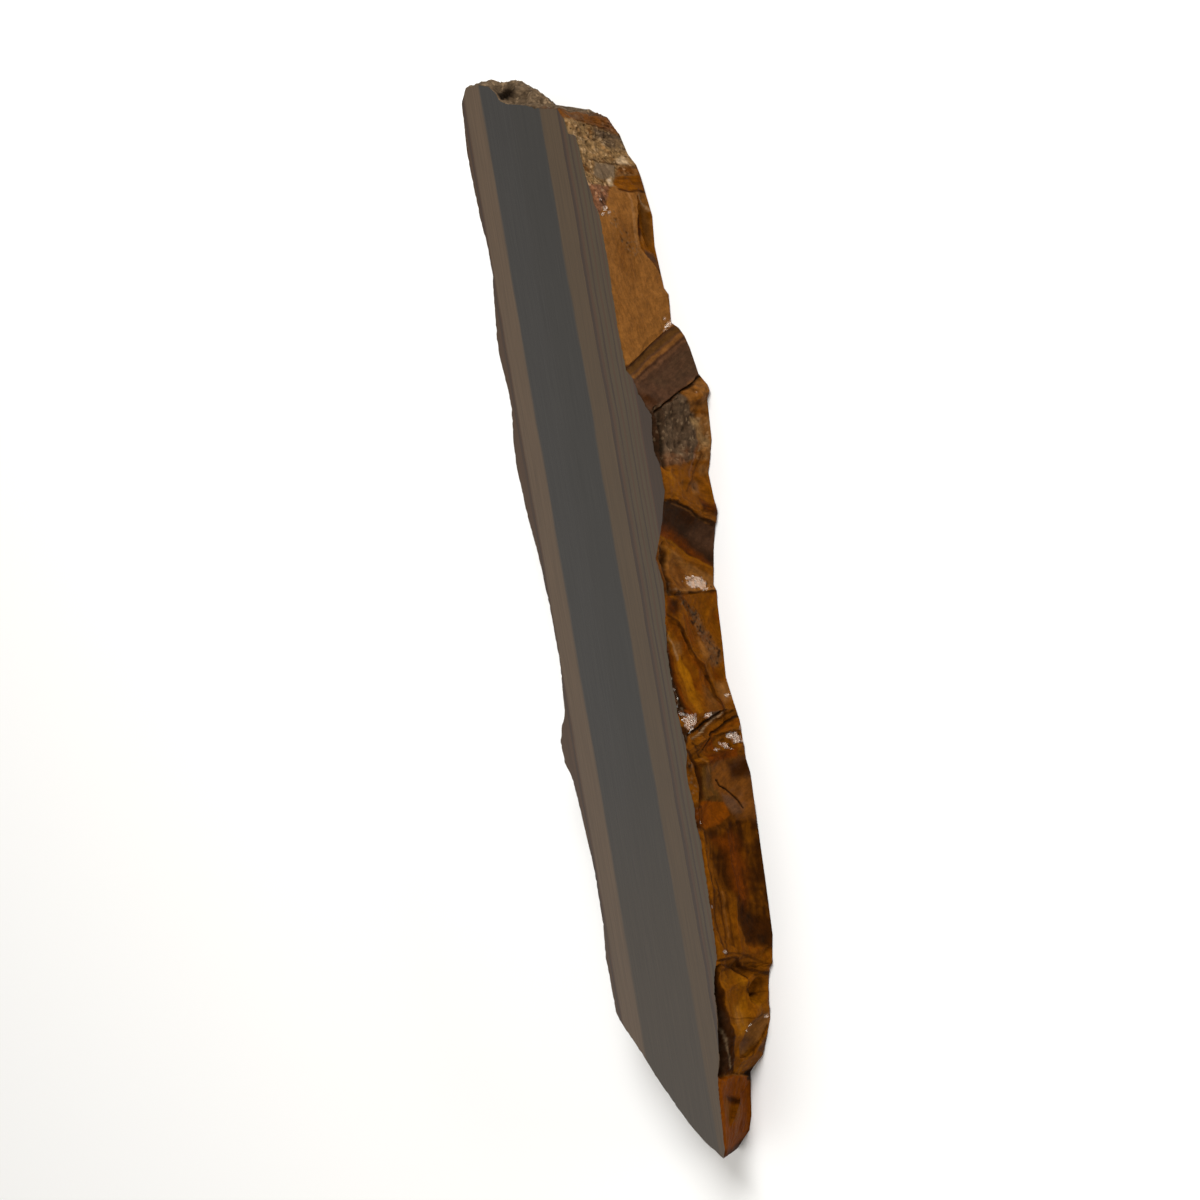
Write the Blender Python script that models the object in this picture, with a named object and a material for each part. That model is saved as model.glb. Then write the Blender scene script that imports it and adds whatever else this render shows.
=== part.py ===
"""A rough slab of tiger's eye, sawn flat on both sides and broken all round its edge.

The slab lies on its sawn back, with the polished face up. X runs along the fibre bands, from the
pointed tip (-X) to the broad broken end (+X). The wall that faces -Y is the freshly broken one.
Lengths in the tables and formulas are millimetres, and the mesh is written in metres.
"""

import bmesh
import bpy
import numpy as np

MM = 0.001
THICKNESS = 22.6
NODE_NAME = "slab"

# How finely the broken wall is faceted.
SOUTH_STATIONS = 165
END_STATIONS = 22
NORTH_STATIONS = 92
LEVELS = (0.0, 1.3, 3.6, 6.6, 9.8, 13.0, 16.0, 18.6, 20.8, THICKNESS)

# The rims of the two sawn faces as (x, y) points. South is -Y, north is +Y, and the end is +X.
# On each side the polished face's rim comes first and the back face's rim second.
SOUTH_RIM_FACE = (
    (-146.8, -6.1), (-144.0, -7.1), (-138.7, -7.4), (-132.5, -8.0), (-128.7, -8.3),
    (-124.0, -9.1), (-119.8, -10.4), (-107.5, -12.4), (-102.9, -12.8), (-96.2, -14.2),
    (-93.0, -15.8), (-82.9, -16.4), (-70.1, -16.9), (-64.9, -16.9), (-61.8, -17.3),
    (-57.3, -16.6), (-52.2, -17.1), (-45.7, -16.2), (-41.2, -16.5), (-38.0, -17.7),
    (-34.9, -17.8), (-30.3, -17.1), (-18.1, -16.6), (-9.2, -17.0), (-4.4, -17.8),
    (3.7, -19.2), (8.1, -19.6), (14.9, -18.5), (20.8, -21.4), (24.3, -23.0),
    (27.9, -24.1), (32.1, -25.7), (39.0, -25.5), (42.8, -24.3), (47.7, -24.6),
    (52.4, -25.8), (55.2, -24.1), (58.7, -22.5), (62.7, -21.4), (65.4, -19.6),
    (76.3, -19.1), (94.3, -19.7), (106.7, -19.6), (111.2, -18.5), (118.5, -17.0),
    (126.0, -16.5), (129.5, -16.0), (130.5, -13.5), (134.5, -13.0), (137.6, -11.2),
)
SOUTH_RIM_BACK = (
    (-149.0, 8.5), (-146.3, 5.5), (-144.0, 3.0), (-139.8, 1.3), (-134.1, 0.2),
    (-129.8, -0.7), (-127.8, -1.0), (-125.9, -3.2), (-123.3, -6.5), (-118.8, -8.8),
    (-113.2, -11.4), (-110.5, -11.6), (-104.6, -12.7), (-99.7, -14.1),
    (-98.4, -15.4), (-90.6, -17.2), (-75.0, -18.0), (-54.7, -18.8), (-46.5, -19.2),
    (-42.6, -18.5), (-31.9, -18.6), (-26.9, -17.6), (-19.9, -16.4), (-9.8, -17.3),
    (0.1, -17.9), (3.6, -18.4), (5.3, -17.7), (14.6, -19.8), (20.1, -21.5),
    (24.7, -23.3), (29.5, -22.9), (35.5, -22.6), (43.8, -25.7), (54.9, -26.6),
    (57.0, -27.7), (59.1, -27.2), (62.0, -25.1), (69.5, -23.6), (72.8, -22.5),
    (75.3, -21.0), (77.1, -18.7), (84.7, -19.5), (86.7, -18.3), (98.3, -17.5),
    (106.6, -18.5), (117.9, -16.8), (121.0, -16.0), (124.4, -13.7), (130.1, -12.0),
    (134.8, -9.1),
)
NORTH_RIM_FACE = (
    (-146.8, -6.1), (-142.1, -0.4), (-137.2, 4.0), (-131.4, 8.2), (-125.1, 12.3),
    (-115.1, 18.1), (-110.3, 21.4), (-105.7, 23.7), (-95.1, 23.9), (-90.4, 24.1),
    (-81.3, 22.9), (-66.1, 22.7), (-46.5, 24.2), (-39.4, 25.2), (-36.0, 26.8),
    (-30.0, 27.0), (-25.5, 25.4), (-22.9, 23.7), (-9.2, 22.2), (4.7, 22.3),
    (19.5, 23.0), (32.8, 24.8), (46.8, 25.7), (53.7, 25.2), (61.8, 23.9),
    (68.8, 23.9), (76.5, 25.0), (81.5, 24.9), (89.6, 23.8), (99.1, 22.4),
    (106.0, 22.3), (118.7, 23.5), (132.7, 24.0), (146.9, 22.8), (150.5, 20.4),
)
NORTH_RIM_BACK = (
    (-149.0, 8.5), (-139.0, 12.5), (-127.0, 16.5), (-116.0, 19.0), (-106.0, 24.5),
    (-92.0, 25.5), (-78.0, 24.0), (-60.0, 25.0), (-44.0, 27.2), (-28.0, 27.6),
    (-12.0, 24.0), (6.0, 23.5), (24.0, 25.4), (42.0, 26.8), (60.0, 27.6),
    (78.0, 26.4), (96.0, 24.0), (112.0, 25.5), (130.0, 26.6), (141.0, 25.6),
    (147.5, 20.0),
)
END_RIM_FACE = (
    (137.6, -11.2), (139.6, -3.8), (141.4, 0.4), (142.9, 6.3), (144.6, 9.0),
    (146.7, 9.8), (149.0, 12.0), (150.4, 16.1), (150.5, 20.4),
)
END_RIM_BACK = (
    (134.8, -9.1), (138.9, -3.3), (141.5, 3.9), (142.8, 9.0), (144.2, 13.0),
    (146.3, 16.5), (147.5, 20.0),
)

# Where a ledge crosses the south wall aslant: its x at the polished face and at the back face.
# Stations of the two rims are paired by these, so the wall's own grid follows the ledges.
SOUTH_PAIRS = (
    (-146.8, -149.0), (-124.2, -128.1), (-100.1, -104.3), (-93.3, -98.8), (-57.5, -60.5),
    (-50.6, -54.5), (-39.5, -41.5), (-34.6, -34.6), (-29.0, -29.0), (5.8, 3.5),
    (20.2, 8.8), (28.6, 21.4), (32.2, 23.4), (38.7, 37.3), (53.0, 61.6),
    (65.5, 76.6), (84.4, 86.0), (116.0, 114.0), (137.6, 134.8),
)

# Shell-shaped breaks in the wall: centre x, centre z, half length, half height, depth, turn in
# degrees. Overlapping ones meet in sharp crests.
SOUTH_SCALLOPS = (
    (124.0, 12.0, 10.0, 13.0, 1.3, 0.0),
    (104.5, 1.0, 8.5, 4.2, 2.6, 8.0),
    (92.0, 14.0, 17.0, 12.0, 0.5, 0.0),
    (65.5, 8.5, 8.0, 13.0, 1.2, 28.0),
    (46.0, 9.0, 8.5, 10.0, 0.9, 0.0),
    (33.0, 7.0, 7.0, 8.0, 1.2, -35.0),
    (18.5, 11.0, 5.6, 14.0, 1.8, -26.0),
    (9.5, 12.0, 5.5, 12.0, 1.2, -20.0),
    (-5.0, 7.0, 9.5, 8.0, 1.1, 30.0),
    (-16.0, 18.0, 13.0, 5.0, 1.3, 18.0),
    (-20.0, 3.0, 8.0, 5.5, 1.4, 10.0),
    (-31.8, 9.0, 2.9, 12.0, 1.3, 6.0),
    (-37.2, 10.0, 3.0, 12.0, 1.6, 8.0),
    (-47.0, 7.5, 8.0, 9.0, 0.8, 12.0),
    (-55.0, 14.8, 5.0, 7.0, 1.5, 10.0),
    (-68.0, 16.5, 12.0, 4.6, 1.2, 4.0),
    (-70.0, 6.0, 14.0, 6.0, 1.5, 6.0),
    (-84.0, 17.0, 9.0, 5.0, 1.2, 10.0),
    (-87.0, 7.0, 9.0, 6.5, 1.4, 14.0),
    (-97.5, 11.0, 3.2, 12.0, 1.2, 12.0),
    (-105.0, 5.0, 3.4, 4.0, 2.8, 20.0),
    (-107.0, 13.5, 5.5, 5.0, 1.0, 0.0),
    (-116.6, 6.2, 7.4, 4.2, 1.6, -50.0),
    (-121.0, 14.5, 5.0, 4.0, 1.2, 12.0),
    (-134.0, 13.0, 7.0, 6.5, 0.9, 8.0),
)
# Low swellings: centre x, centre z, half length, half height, height.
SOUTH_SWELLINGS = (
    (57.5, 4.0, 5.0, 6.0, 1.3),
    (35.5, 9.5, 3.0, 8.0, 0.7),
    (-26.5, 12.0, 3.0, 9.0, 0.8),
    (-111.0, 6.0, 2.2, 8.0, 0.6),
)
# Clefts along the wall: width at each end, depth, then the (x, z) points of their course.
ARRIS_CREVICE = (1.4, 1.4, 2.4, ((53.0, 20.6), (49.0, 19.6), (44.0, 19.3), (38.7, 20.2)))
PITTED_STREAK = (1.2, 1.5, 1.6, ((18.0, 21.2), (13.0, 18.6), (6.0, 20.4)))
BLACK_STREAK = (1.3, 1.9, 1.1, ((-7.0, 21.2), (-14.0, 20.4), (-21.0, 20.2), (-28.0, 20.4)))
CURVED_CRACK = (1.0, 1.0, 0.9, ((-37.5, 21.2), (-41.0, 19.2), (-47.6, 18.2), (-51.0, 19.8)))
ARRIS_SLOT = (0.8, 3.0, 3.6, ((-95.5, 21.8), (-104.3, 21.0), (-110.5, 20.3), (-118.4, 19.6),
                              (-122.8, 19.1)))
SOUTH_CLEFTS = (ARRIS_CREVICE, PITTED_STREAK, BLACK_STREAK, CURVED_CRACK, ARRIS_SLOT)
# How far a cleft reaches to each side over its width, and the share of its depth at its start.
CLEFT_REACH = 1.35
CLEFT_START = 0.45
# Ledges: rise across them, then their course. The wall stands out on the left of the course.
TAN_LEDGE = (0.8, ((65.6, 24.0), (69.8, 14.2), (72.2, 9.2), (74.4, 4.7), (76.8, -1.0)))
UPPER_LEDGE = (1.0, ((52.0, 24.0), (54.9, 17.0), (56.1, 13.8), (59.1, 5.6), (61.9, -1.0)))
STEP_LEDGE = (1.0, ((29.8, 24.0), (28.5, 17.3), (26.7, 12.9), (23.9, 7.5), (20.6, -1.0)))
SCOOP_LEDGE = (1.5, ((90.6, -0.5), (93.7, 2.4), (97.8, 6.4), (101.1, 6.8), (105.0, 6.7),
                     (108.9, 5.9), (112.2, 4.2)))
WAVE_LEDGE = (0.8, ((-93.2, 24.0), (-94.3, 14.8), (-97.9, 10.0), (-100.5, 4.6), (-101.5, -1.0)))
NOTCH_STEP = (1.0, ((-106.1, 2.5), (-105.4, 7.6), (-103.5, 9.4), (-100.5, 9.4), (-98.5, 11.8),
                    (-96.6, 15.5), (-94.8, 22.0)))
SLOT_LEDGE = (0.9, ((-96.4, 21.6), (-102.6, 20.2), (-107.4, 19.5), (-113.5, 17.6), (-120.0, 15.3),
                    (-125.0, 13.6)))
OVAL_LEDGE = (0.9, ((-118.4, 2.6), (-120.4, 5.0), (-122.0, 8.4), (-121.8, 11.0), (-118.4, 12.4),
                    (-115.2, 11.0), (-112.6, 8.2), (-111.2, 2.0)))
NOTCH_LEDGE = (0.9, ((5.2, 24.0), (4.3, 9.0), (3.6, -1.0)))
WAVY_LEDGE = (0.9, ((-0.3, 24.0), (-3.6, 17.5), (-7.5, 14.2), (-12.7, 12.3), (-16.4, 9.6),
                    (-20.4, 5.3), (-24.8, 6.1), (-27.8, 5.5)))
FIRST_GLOSSY_LEDGE = (0.9, ((-28.4, 4.5), (-30.8, 8.6), (-32.5, 13.0), (-34.4, 17.9), (-35.0, 20.0)))
SECOND_GLOSSY_LEDGE = (0.8, ((-31.0, -1.0), (-32.6, 5.0), (-33.6, 8.4), (-35.8, 13.9), (-37.3, 17.5)))
TIP_LEDGE = (0.9, ((-129.0, -1.0), (-126.5, 11.0), (-125.2, 24.0)))
SOUTH_LEDGES = (TAN_LEDGE, UPPER_LEDGE, STEP_LEDGE, SCOOP_LEDGE, NOTCH_LEDGE, WAVY_LEDGE,
                FIRST_GLOSSY_LEDGE, SECOND_GLOSSY_LEDGE, WAVE_LEDGE, NOTCH_STEP, SLOT_LEDGE,
                OVAL_LEDGE, TIP_LEDGE)
# A ledge's rise dies away over this distance, its riser is this wide, and it fades in and out
# over one part in this many of its course.
LEDGE_REACH = 5.0
LEDGE_RISER = 0.6
LEDGE_FADE = 8.0
# The broken end's breaks: centre y, centre z, half width, half height, depth.
END_SCALLOPS = (
    (10.8, 18.4, 3.4, 3.8, 3.4),
    (4.6, 18.8, 2.2, 2.8, 1.5),
    (-1.0, 17.2, 3.0, 3.4, 1.3),
    (2.0, 7.0, 7.0, 7.5, 1.8),
    (15.5, 9.0, 6.0, 6.0, 1.2),
    (-8.0, 11.0, 4.5, 9.0, 1.0),
)
# The end's outward swells: centre y and z, half width, half height, and how far they stand out.
END_SWELLS = (
    (12.0, 12.0, 11.0, 11.0, 2.2),
    (5.5, 12.5, 8.5, 10.0, 3.4),
)
# The far wall's seeded breaks: the x of the first and last, and how far each may be shifted,
# then the least and greatest centre z, half length, half height, depth and turn.
NORTH_BREAKS = 30
NORTH_SEED = 41
NORTH_FIRST, NORTH_LAST, NORTH_SHIFT = -136.0, 142.0, 4.0
NORTH_RANGES = ((3.0, 19.0), (5.0, 12.0), (4.5, 11.0), (0.8, 2.2), (-25.0, 25.0))
# Height of the crests between breaks, and how the relief fades to nothing at rims and tip.
CREST = 0.5
RIM_FADE = 1.3
TIP_X, TIP_FADE = -147.0, 12.0
# Overall lumps: height, sizes, waves in each, their spread of length, divisor and first seed.
LUMP_HEIGHT = 0.42
LUMP_SIZES = (9.0, 4.2)
LUMP_WAVES, LUMP_SPREAD, LUMP_DIVISOR, LUMP_SEED = 7, (0.7, 1.5), 3.0, 7
# Where the walls' outward direction turns: the end's start in x and in y, each with its blend,
# then the middle line's y, its shift toward the tip, and the half width of its blend.
END_START, CORNER_BLEND = 133.0, 6.0
END_TOP, END_TOP_BLEND, END_TOP_SHIFT = 24.0, 8.0, 0.2
MIDDLE_Y, TIP_SHIFT, TIP_START, TIP_BLEND, SIDE_BLEND = 4.0, 10.0, -110.0, 37.0, 10.0
END_PULL, SIDE_DROP = 1.6, 0.6
TINY = 1e-6
STONE_COLOUR = (0.22, 0.11, 0.035, 1.0)
STONE_ROUGHNESS = 0.3


def rim(points, at, axis=0):
    """The other coordinate of a rim at these places along the given axis."""
    table = np.array(points)
    return np.interp(at, table[:, axis], table[:, 1 - axis])


def paired(at):
    """The x at the back face that goes with these x at the polished face on the south wall."""
    table = np.array(SOUTH_PAIRS)
    return np.interp(at, table[:, 0], table[:, 1])


def smooth(value):
    """0 below 0, 1 above 1, and an S curve between."""
    clipped = np.clip(value, 0.0, 1.0)
    return clipped * clipped * (3.0 - 2.0 * clipped)


def scallops(table, along, height):
    """The deepest of a set of bowls at each place: 0 or less inside them, CREST outside."""
    depth_here = np.full(along.shape, CREST)
    for row in table:
        middle, level, half_long, half_high, depth = row[:5]
        turn = np.radians(row[5]) if len(row) > 5 else 0.0
        across = (along - middle) * np.cos(turn) + (height - level) * np.sin(turn)
        upward = (height - level) * np.cos(turn) - (along - middle) * np.sin(turn)
        radius = (across / half_long) ** 2 + (upward / half_high) ** 2
        depth_here = np.minimum(depth_here, depth * (radius - 1.0))
    return depth_here


def swellings(table, along, height):
    """The sum of smooth mounds, each falling to nothing at its ellipse."""
    total = np.zeros(along.shape)
    for middle, level, half_long, half_high, rise in table:
        radius = ((along - middle) / half_long) ** 2 + ((height - level) / half_high) ** 2
        total += rise * smooth(1.0 - radius)
    return total


def course(points, along, height):
    """Distance to a polyline, its share run so far, and the side: 1 on its left, -1 right."""
    nearest = np.full(along.shape, np.inf)
    share = np.zeros(along.shape)
    side = np.ones(along.shape)
    steps = len(points) - 1
    for index in range(steps):
        (x0, z0), (x1, z1) = points[index], points[index + 1]
        dx, dz = x1 - x0, z1 - z0
        run = ((along - x0) * dx + (height - z0) * dz) / (dx * dx + dz * dz)
        run = np.clip(run, 0.0, 1.0)
        gap_x, gap_z = along - x0 - run * dx, height - z0 - run * dz
        gap = np.hypot(gap_x, gap_z)
        closer = gap < nearest
        nearest = np.where(closer, gap, nearest)
        share = np.where(closer, (index + run) / steps, share)
        side = np.where(closer, np.sign(dx * gap_z - dz * gap_x), side)
    return nearest, share, side


def clefts(along, height):
    """Each cleft as a rounded trench whose width and depth grow along its course."""
    total = np.zeros(along.shape)
    for width_start, width_end, depth, points in SOUTH_CLEFTS:
        gap, share, _ = course(points, along, height)
        width = width_start + (width_end - width_start) * share
        grown = CLEFT_START + (1.0 - CLEFT_START) * share
        total -= depth * grown * smooth(CLEFT_REACH - gap / width)
    return total


def ledges(along, height):
    """Half of each ledge's rise to one side and half to the other, with its sign."""
    total = np.zeros(along.shape)
    for rise, points in SOUTH_LEDGES:
        gap, share, side = course(points, along, height)
        ends = smooth(share * LEDGE_FADE) * smooth((1.0 - share) * LEDGE_FADE)
        total += rise / 2.0 * side * np.exp(-gap / LEDGE_REACH) * smooth(gap / LEDGE_RISER) * ends
    return total


def lumps(places, size, seed):
    """Smooth irregular lumps: a few sine waves in seeded directions, about -1 to 1."""
    chance = np.random.default_rng(seed)
    total = np.zeros(places.shape[:-1])
    for _ in range(LUMP_WAVES):
        direction = chance.normal(size=3)
        direction /= np.linalg.norm(direction)
        wave = 2.0 * np.pi / (size * chance.uniform(*LUMP_SPREAD))
        total += np.sin(places @ direction * wave + chance.uniform(0.0, 2.0 * np.pi))
    return total / LUMP_DIVISOR


def north_table():
    """Breaks strewn along the hidden wall."""
    chance = np.random.default_rng(NORTH_SEED)
    middles = np.linspace(NORTH_FIRST, NORTH_LAST, NORTH_BREAKS)
    middles = middles + chance.uniform(-NORTH_SHIFT, NORTH_SHIFT, NORTH_BREAKS)
    return [(middle, *(chance.uniform(*limits) for limits in NORTH_RANGES)) for middle in middles]


def along_side(face, back, count, axis):
    """Points of a side's two rims, at even steps of the given axis from its start to its end."""
    share = np.linspace(0.0, 1.0, count, endpoint=False)
    rings = []
    for points in (face, back):
        first, last = points[0][axis], points[-1][axis]
        at = first + (last - first) * share
        other = rim(sorted(points, key=lambda point: point[axis]), at, axis)
        rings.append(np.column_stack([other, at] if axis else [at, other]))
    return rings


def stations():
    """Both rims' points for every station, once round the slab."""
    first, last = SOUTH_RIM_FACE[0][0], SOUTH_RIM_FACE[-1][0]
    face_x = np.linspace(first, last, SOUTH_STATIONS, endpoint=False)
    back_x = paired(face_x)
    south_face = np.column_stack([face_x, rim(SOUTH_RIM_FACE, face_x)])
    south_back = np.column_stack([back_x, rim(SOUTH_RIM_BACK, back_x)])
    end_face, end_back = along_side(END_RIM_FACE, END_RIM_BACK, END_STATIONS, 1)
    north = NORTH_RIM_FACE[::-1], NORTH_RIM_BACK[::-1]
    north_face, north_back = along_side(*north, NORTH_STATIONS, 0)
    face = np.concatenate([south_face, end_face, north_face])
    back = np.concatenate([south_back, end_back, north_back])
    return face, back


def outward(places):
    """Unit outward directions: -Y, +X and +Y by side, turning smoothly round the corners."""
    x, y = places[..., 0], places[..., 1]
    below_top = smooth((END_TOP - y) / END_TOP_BLEND + END_TOP_SHIFT)
    to_end = smooth((x - END_START) / CORNER_BLEND) * below_top
    middle = MIDDLE_Y - TIP_SHIFT * smooth((TIP_START - x) / TIP_BLEND)
    north_south = np.clip((y - middle) / SIDE_BLEND, -1.0, 1.0)
    away = np.stack([to_end * END_PULL, north_south * (1.0 - SIDE_DROP * to_end)], axis=-1)
    return away / np.maximum(np.linalg.norm(away, axis=-1, keepdims=True), TINY)


def relief(places, side):
    """How far the broken wall stands out at these places, in mm, fading out at both rims."""
    x, y, z = places[..., 0], places[..., 1], places[..., 2]
    out = np.zeros(x.shape)
    south, end, north = side == 0, side == 1, side == 2
    out[south] = (
        scallops(SOUTH_SCALLOPS, x[south], z[south])
        + swellings(SOUTH_SWELLINGS, x[south], z[south])
        + clefts(x[south], z[south])
        + ledges(x[south], z[south])
    )
    out[end] = scallops(END_SCALLOPS, y[end], z[end]) + swellings(END_SWELLS, y[end], z[end])
    out[north] = scallops(north_table(), x[north], z[north])
    for index, size in enumerate(LUMP_SIZES):
        out += LUMP_HEIGHT * lumps(places, size, LUMP_SEED + index) / (index + 1.0)
    near_tip = smooth((x - TIP_X) / TIP_FADE)
    near_rim = np.minimum(z, THICKNESS - z) / RIM_FADE
    return out * near_tip * np.sqrt(np.clip(near_rim, 0.0, 1.0))


def wall_rings():
    """One closed ring of points per level, from the back face up to the polished face."""
    face, back = stations()
    side = np.repeat([0, 1, 2], [SOUTH_STATIONS, END_STATIONS, NORTH_STATIONS])
    rings = []
    for level in LEVELS:
        share = level / THICKNESS
        flat = back + (face - back) * share
        places = np.column_stack([flat, np.full(len(flat), level)])
        out = relief(places, side)
        places[:, :2] += outward(flat) * out[:, None]
        rings.append(places)
    rings = np.array(rings)
    middle = (rings[..., :2].min(axis=(0, 1)) + rings[..., :2].max(axis=(0, 1))) / 2.0
    rings[..., :2] -= middle
    return rings * MM


def stone_material():
    """Brown-gold banded quartz with a polish."""
    material = bpy.data.materials.new("tigers_eye")
    material.use_nodes = True
    shader = material.node_tree.nodes["Principled BSDF"]
    shader.inputs["Base Color"].default_value = STONE_COLOUR
    shader.inputs["Roughness"].default_value = STONE_ROUGHNESS
    shader.inputs["Metallic"].default_value = 0.0
    material.diffuse_color = STONE_COLOUR
    return material


def build_slab():
    """Extrudes the back face up level by level, and sets each ring of the broken wall."""
    rings = wall_rings()
    bm = bmesh.new()
    back = top = bm.faces.new([bm.verts.new(point) for point in rings[0]])
    for ring in rings[1:]:
        below = top
        made = bmesh.ops.extrude_face_region(bm, geom=[below])
        top = next(item for item in made["geom"] if isinstance(item, bmesh.types.BMFace))
        for vertex, point in zip(top.verts, ring):
            vertex.co = point
        if below is not back:
            bmesh.ops.delete(bm, geom=[below], context="FACES_ONLY")
    bmesh.ops.recalc_face_normals(bm, faces=bm.faces)
    mesh = bpy.data.meshes.new(NODE_NAME)
    bm.to_mesh(mesh)
    bm.free()
    mesh.materials.append(stone_material())
    slab = bpy.data.objects.new(NODE_NAME, mesh)
    bpy.context.scene.collection.objects.link(slab)


def main():
    for obj in list(bpy.data.objects):
        bpy.data.objects.remove(obj)
    build_slab()


main()
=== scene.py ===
"""Dresses a packed tiger's eye slab: a mirror-polished face, a sawn back and a broken wall.

Run as a script. Tables and formulas are in millimetres in the slab's own frame: X runs along the
fibre bands, +Z is out of the polished face, and the freshly broken wall faces -Y.
"""

import bpy
import numpy as np
from mathutils import Matrix, Vector


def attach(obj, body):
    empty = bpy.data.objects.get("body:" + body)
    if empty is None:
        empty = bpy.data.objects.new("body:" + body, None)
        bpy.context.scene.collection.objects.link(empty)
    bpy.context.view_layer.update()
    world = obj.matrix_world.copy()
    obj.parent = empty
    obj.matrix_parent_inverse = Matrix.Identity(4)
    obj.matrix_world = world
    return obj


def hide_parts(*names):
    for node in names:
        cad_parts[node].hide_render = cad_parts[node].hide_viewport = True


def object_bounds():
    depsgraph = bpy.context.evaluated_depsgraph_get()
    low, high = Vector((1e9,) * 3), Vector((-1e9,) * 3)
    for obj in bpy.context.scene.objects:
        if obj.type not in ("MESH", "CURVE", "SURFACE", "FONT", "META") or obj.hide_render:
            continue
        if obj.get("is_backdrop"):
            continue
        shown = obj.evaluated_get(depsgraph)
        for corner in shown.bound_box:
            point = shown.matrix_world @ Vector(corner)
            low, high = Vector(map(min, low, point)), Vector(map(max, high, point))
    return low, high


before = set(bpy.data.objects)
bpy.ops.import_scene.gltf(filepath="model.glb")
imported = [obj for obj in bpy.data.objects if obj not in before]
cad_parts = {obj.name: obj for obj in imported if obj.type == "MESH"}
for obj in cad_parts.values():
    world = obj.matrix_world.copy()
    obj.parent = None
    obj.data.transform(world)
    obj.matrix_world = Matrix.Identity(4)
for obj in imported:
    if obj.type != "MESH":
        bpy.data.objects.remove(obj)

bl_info = {
    "name": "Tiger's eye slab",
    "version": (1, 0, 0),
    "blender": (4, 5, 0),
    "location": "3D View > Sidebar > Stone",
    "description": "Builds a broken and polished slab of banded quartz with its stage",
    "category": "Add Mesh",
}

MM = 0.001
CAD_LOW, CAD_HIGH = (np.array(corner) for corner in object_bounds())
THICKNESS = float(CAD_HIGH[2] - CAD_LOW[2]) / MM
SLAB_PIECE = "broken_slab"
HIDDEN = ("rna_type", "name")

# The rims of the two sawn faces as (x, y) points. South is -Y, north is +Y, and the end is +X.
SOUTH_RIM_FACE = (
    (-146.8, -6.1), (-144.0, -7.1), (-138.7, -7.4), (-132.5, -8.0), (-128.7, -8.3),
    (-124.0, -9.1), (-119.8, -10.4), (-107.5, -12.4), (-102.9, -12.8), (-96.2, -14.2),
    (-93.0, -15.8), (-82.9, -16.4), (-70.1, -16.9), (-64.9, -16.9), (-61.8, -17.3),
    (-57.3, -16.6), (-52.2, -17.1), (-45.7, -16.2), (-41.2, -16.5), (-38.0, -17.7),
    (-34.9, -17.8), (-30.3, -17.1), (-18.1, -16.6), (-9.2, -17.0), (-4.4, -17.8),
    (3.7, -19.2), (8.1, -19.6), (14.9, -18.5), (20.8, -21.4), (24.3, -23.0),
    (27.9, -24.1), (32.1, -25.7), (39.0, -25.5), (42.8, -24.3), (47.7, -24.6),
    (52.4, -25.8), (55.2, -24.1), (58.7, -22.5), (62.7, -21.4), (65.4, -19.6),
    (76.3, -19.1), (94.3, -19.7), (106.7, -19.6), (111.2, -18.5), (118.5, -17.0),
    (126.0, -16.5), (129.5, -16.0), (130.5, -13.5), (134.5, -13.0), (137.6, -11.2),
)
SOUTH_RIM_BACK = (
    (-149.0, 8.5), (-146.3, 5.5), (-144.0, 3.0), (-139.8, 1.3), (-134.1, 0.2),
    (-129.8, -0.7), (-127.8, -1.0), (-125.9, -3.2), (-123.3, -6.5), (-118.8, -8.8),
    (-113.2, -11.4), (-110.5, -11.6), (-104.6, -12.7), (-99.7, -14.1),
    (-98.4, -15.4), (-90.6, -17.2), (-75.0, -18.0), (-54.7, -18.8), (-46.5, -19.2),
    (-42.6, -18.5), (-31.9, -18.6), (-26.9, -17.6), (-19.9, -16.4), (-9.8, -17.3),
    (0.1, -17.9), (3.6, -18.4), (5.3, -17.7), (14.6, -19.8), (20.1, -21.5),
    (24.7, -23.3), (29.5, -22.9), (35.5, -22.6), (43.8, -25.7), (54.9, -26.6),
    (57.0, -27.7), (59.1, -27.2), (62.0, -25.1), (69.5, -23.6), (72.8, -22.5),
    (75.3, -21.0), (77.1, -18.7), (84.7, -19.5), (86.7, -18.3), (98.3, -17.5),
    (106.6, -18.5), (117.9, -16.8), (121.0, -16.0), (124.4, -13.7), (130.1, -12.0),
    (134.8, -9.1),
)
NORTH_RIM_FACE = (
    (-146.8, -6.1), (-142.1, -0.4), (-137.2, 4.0), (-131.4, 8.2), (-125.1, 12.3),
    (-115.1, 18.1), (-110.3, 21.4), (-105.7, 23.7), (-95.1, 23.9), (-90.4, 24.1),
    (-81.3, 22.9), (-66.1, 22.7), (-46.5, 24.2), (-39.4, 25.2), (-36.0, 26.8),
    (-30.0, 27.0), (-25.5, 25.4), (-22.9, 23.7), (-9.2, 22.2), (4.7, 22.3),
    (19.5, 23.0), (32.8, 24.8), (46.8, 25.7), (53.7, 25.2), (61.8, 23.9),
    (68.8, 23.9), (76.5, 25.0), (81.5, 24.9), (89.6, 23.8), (99.1, 22.4),
    (106.0, 22.3), (118.7, 23.5), (132.7, 24.0), (146.9, 22.8), (150.5, 20.4),
)
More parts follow.
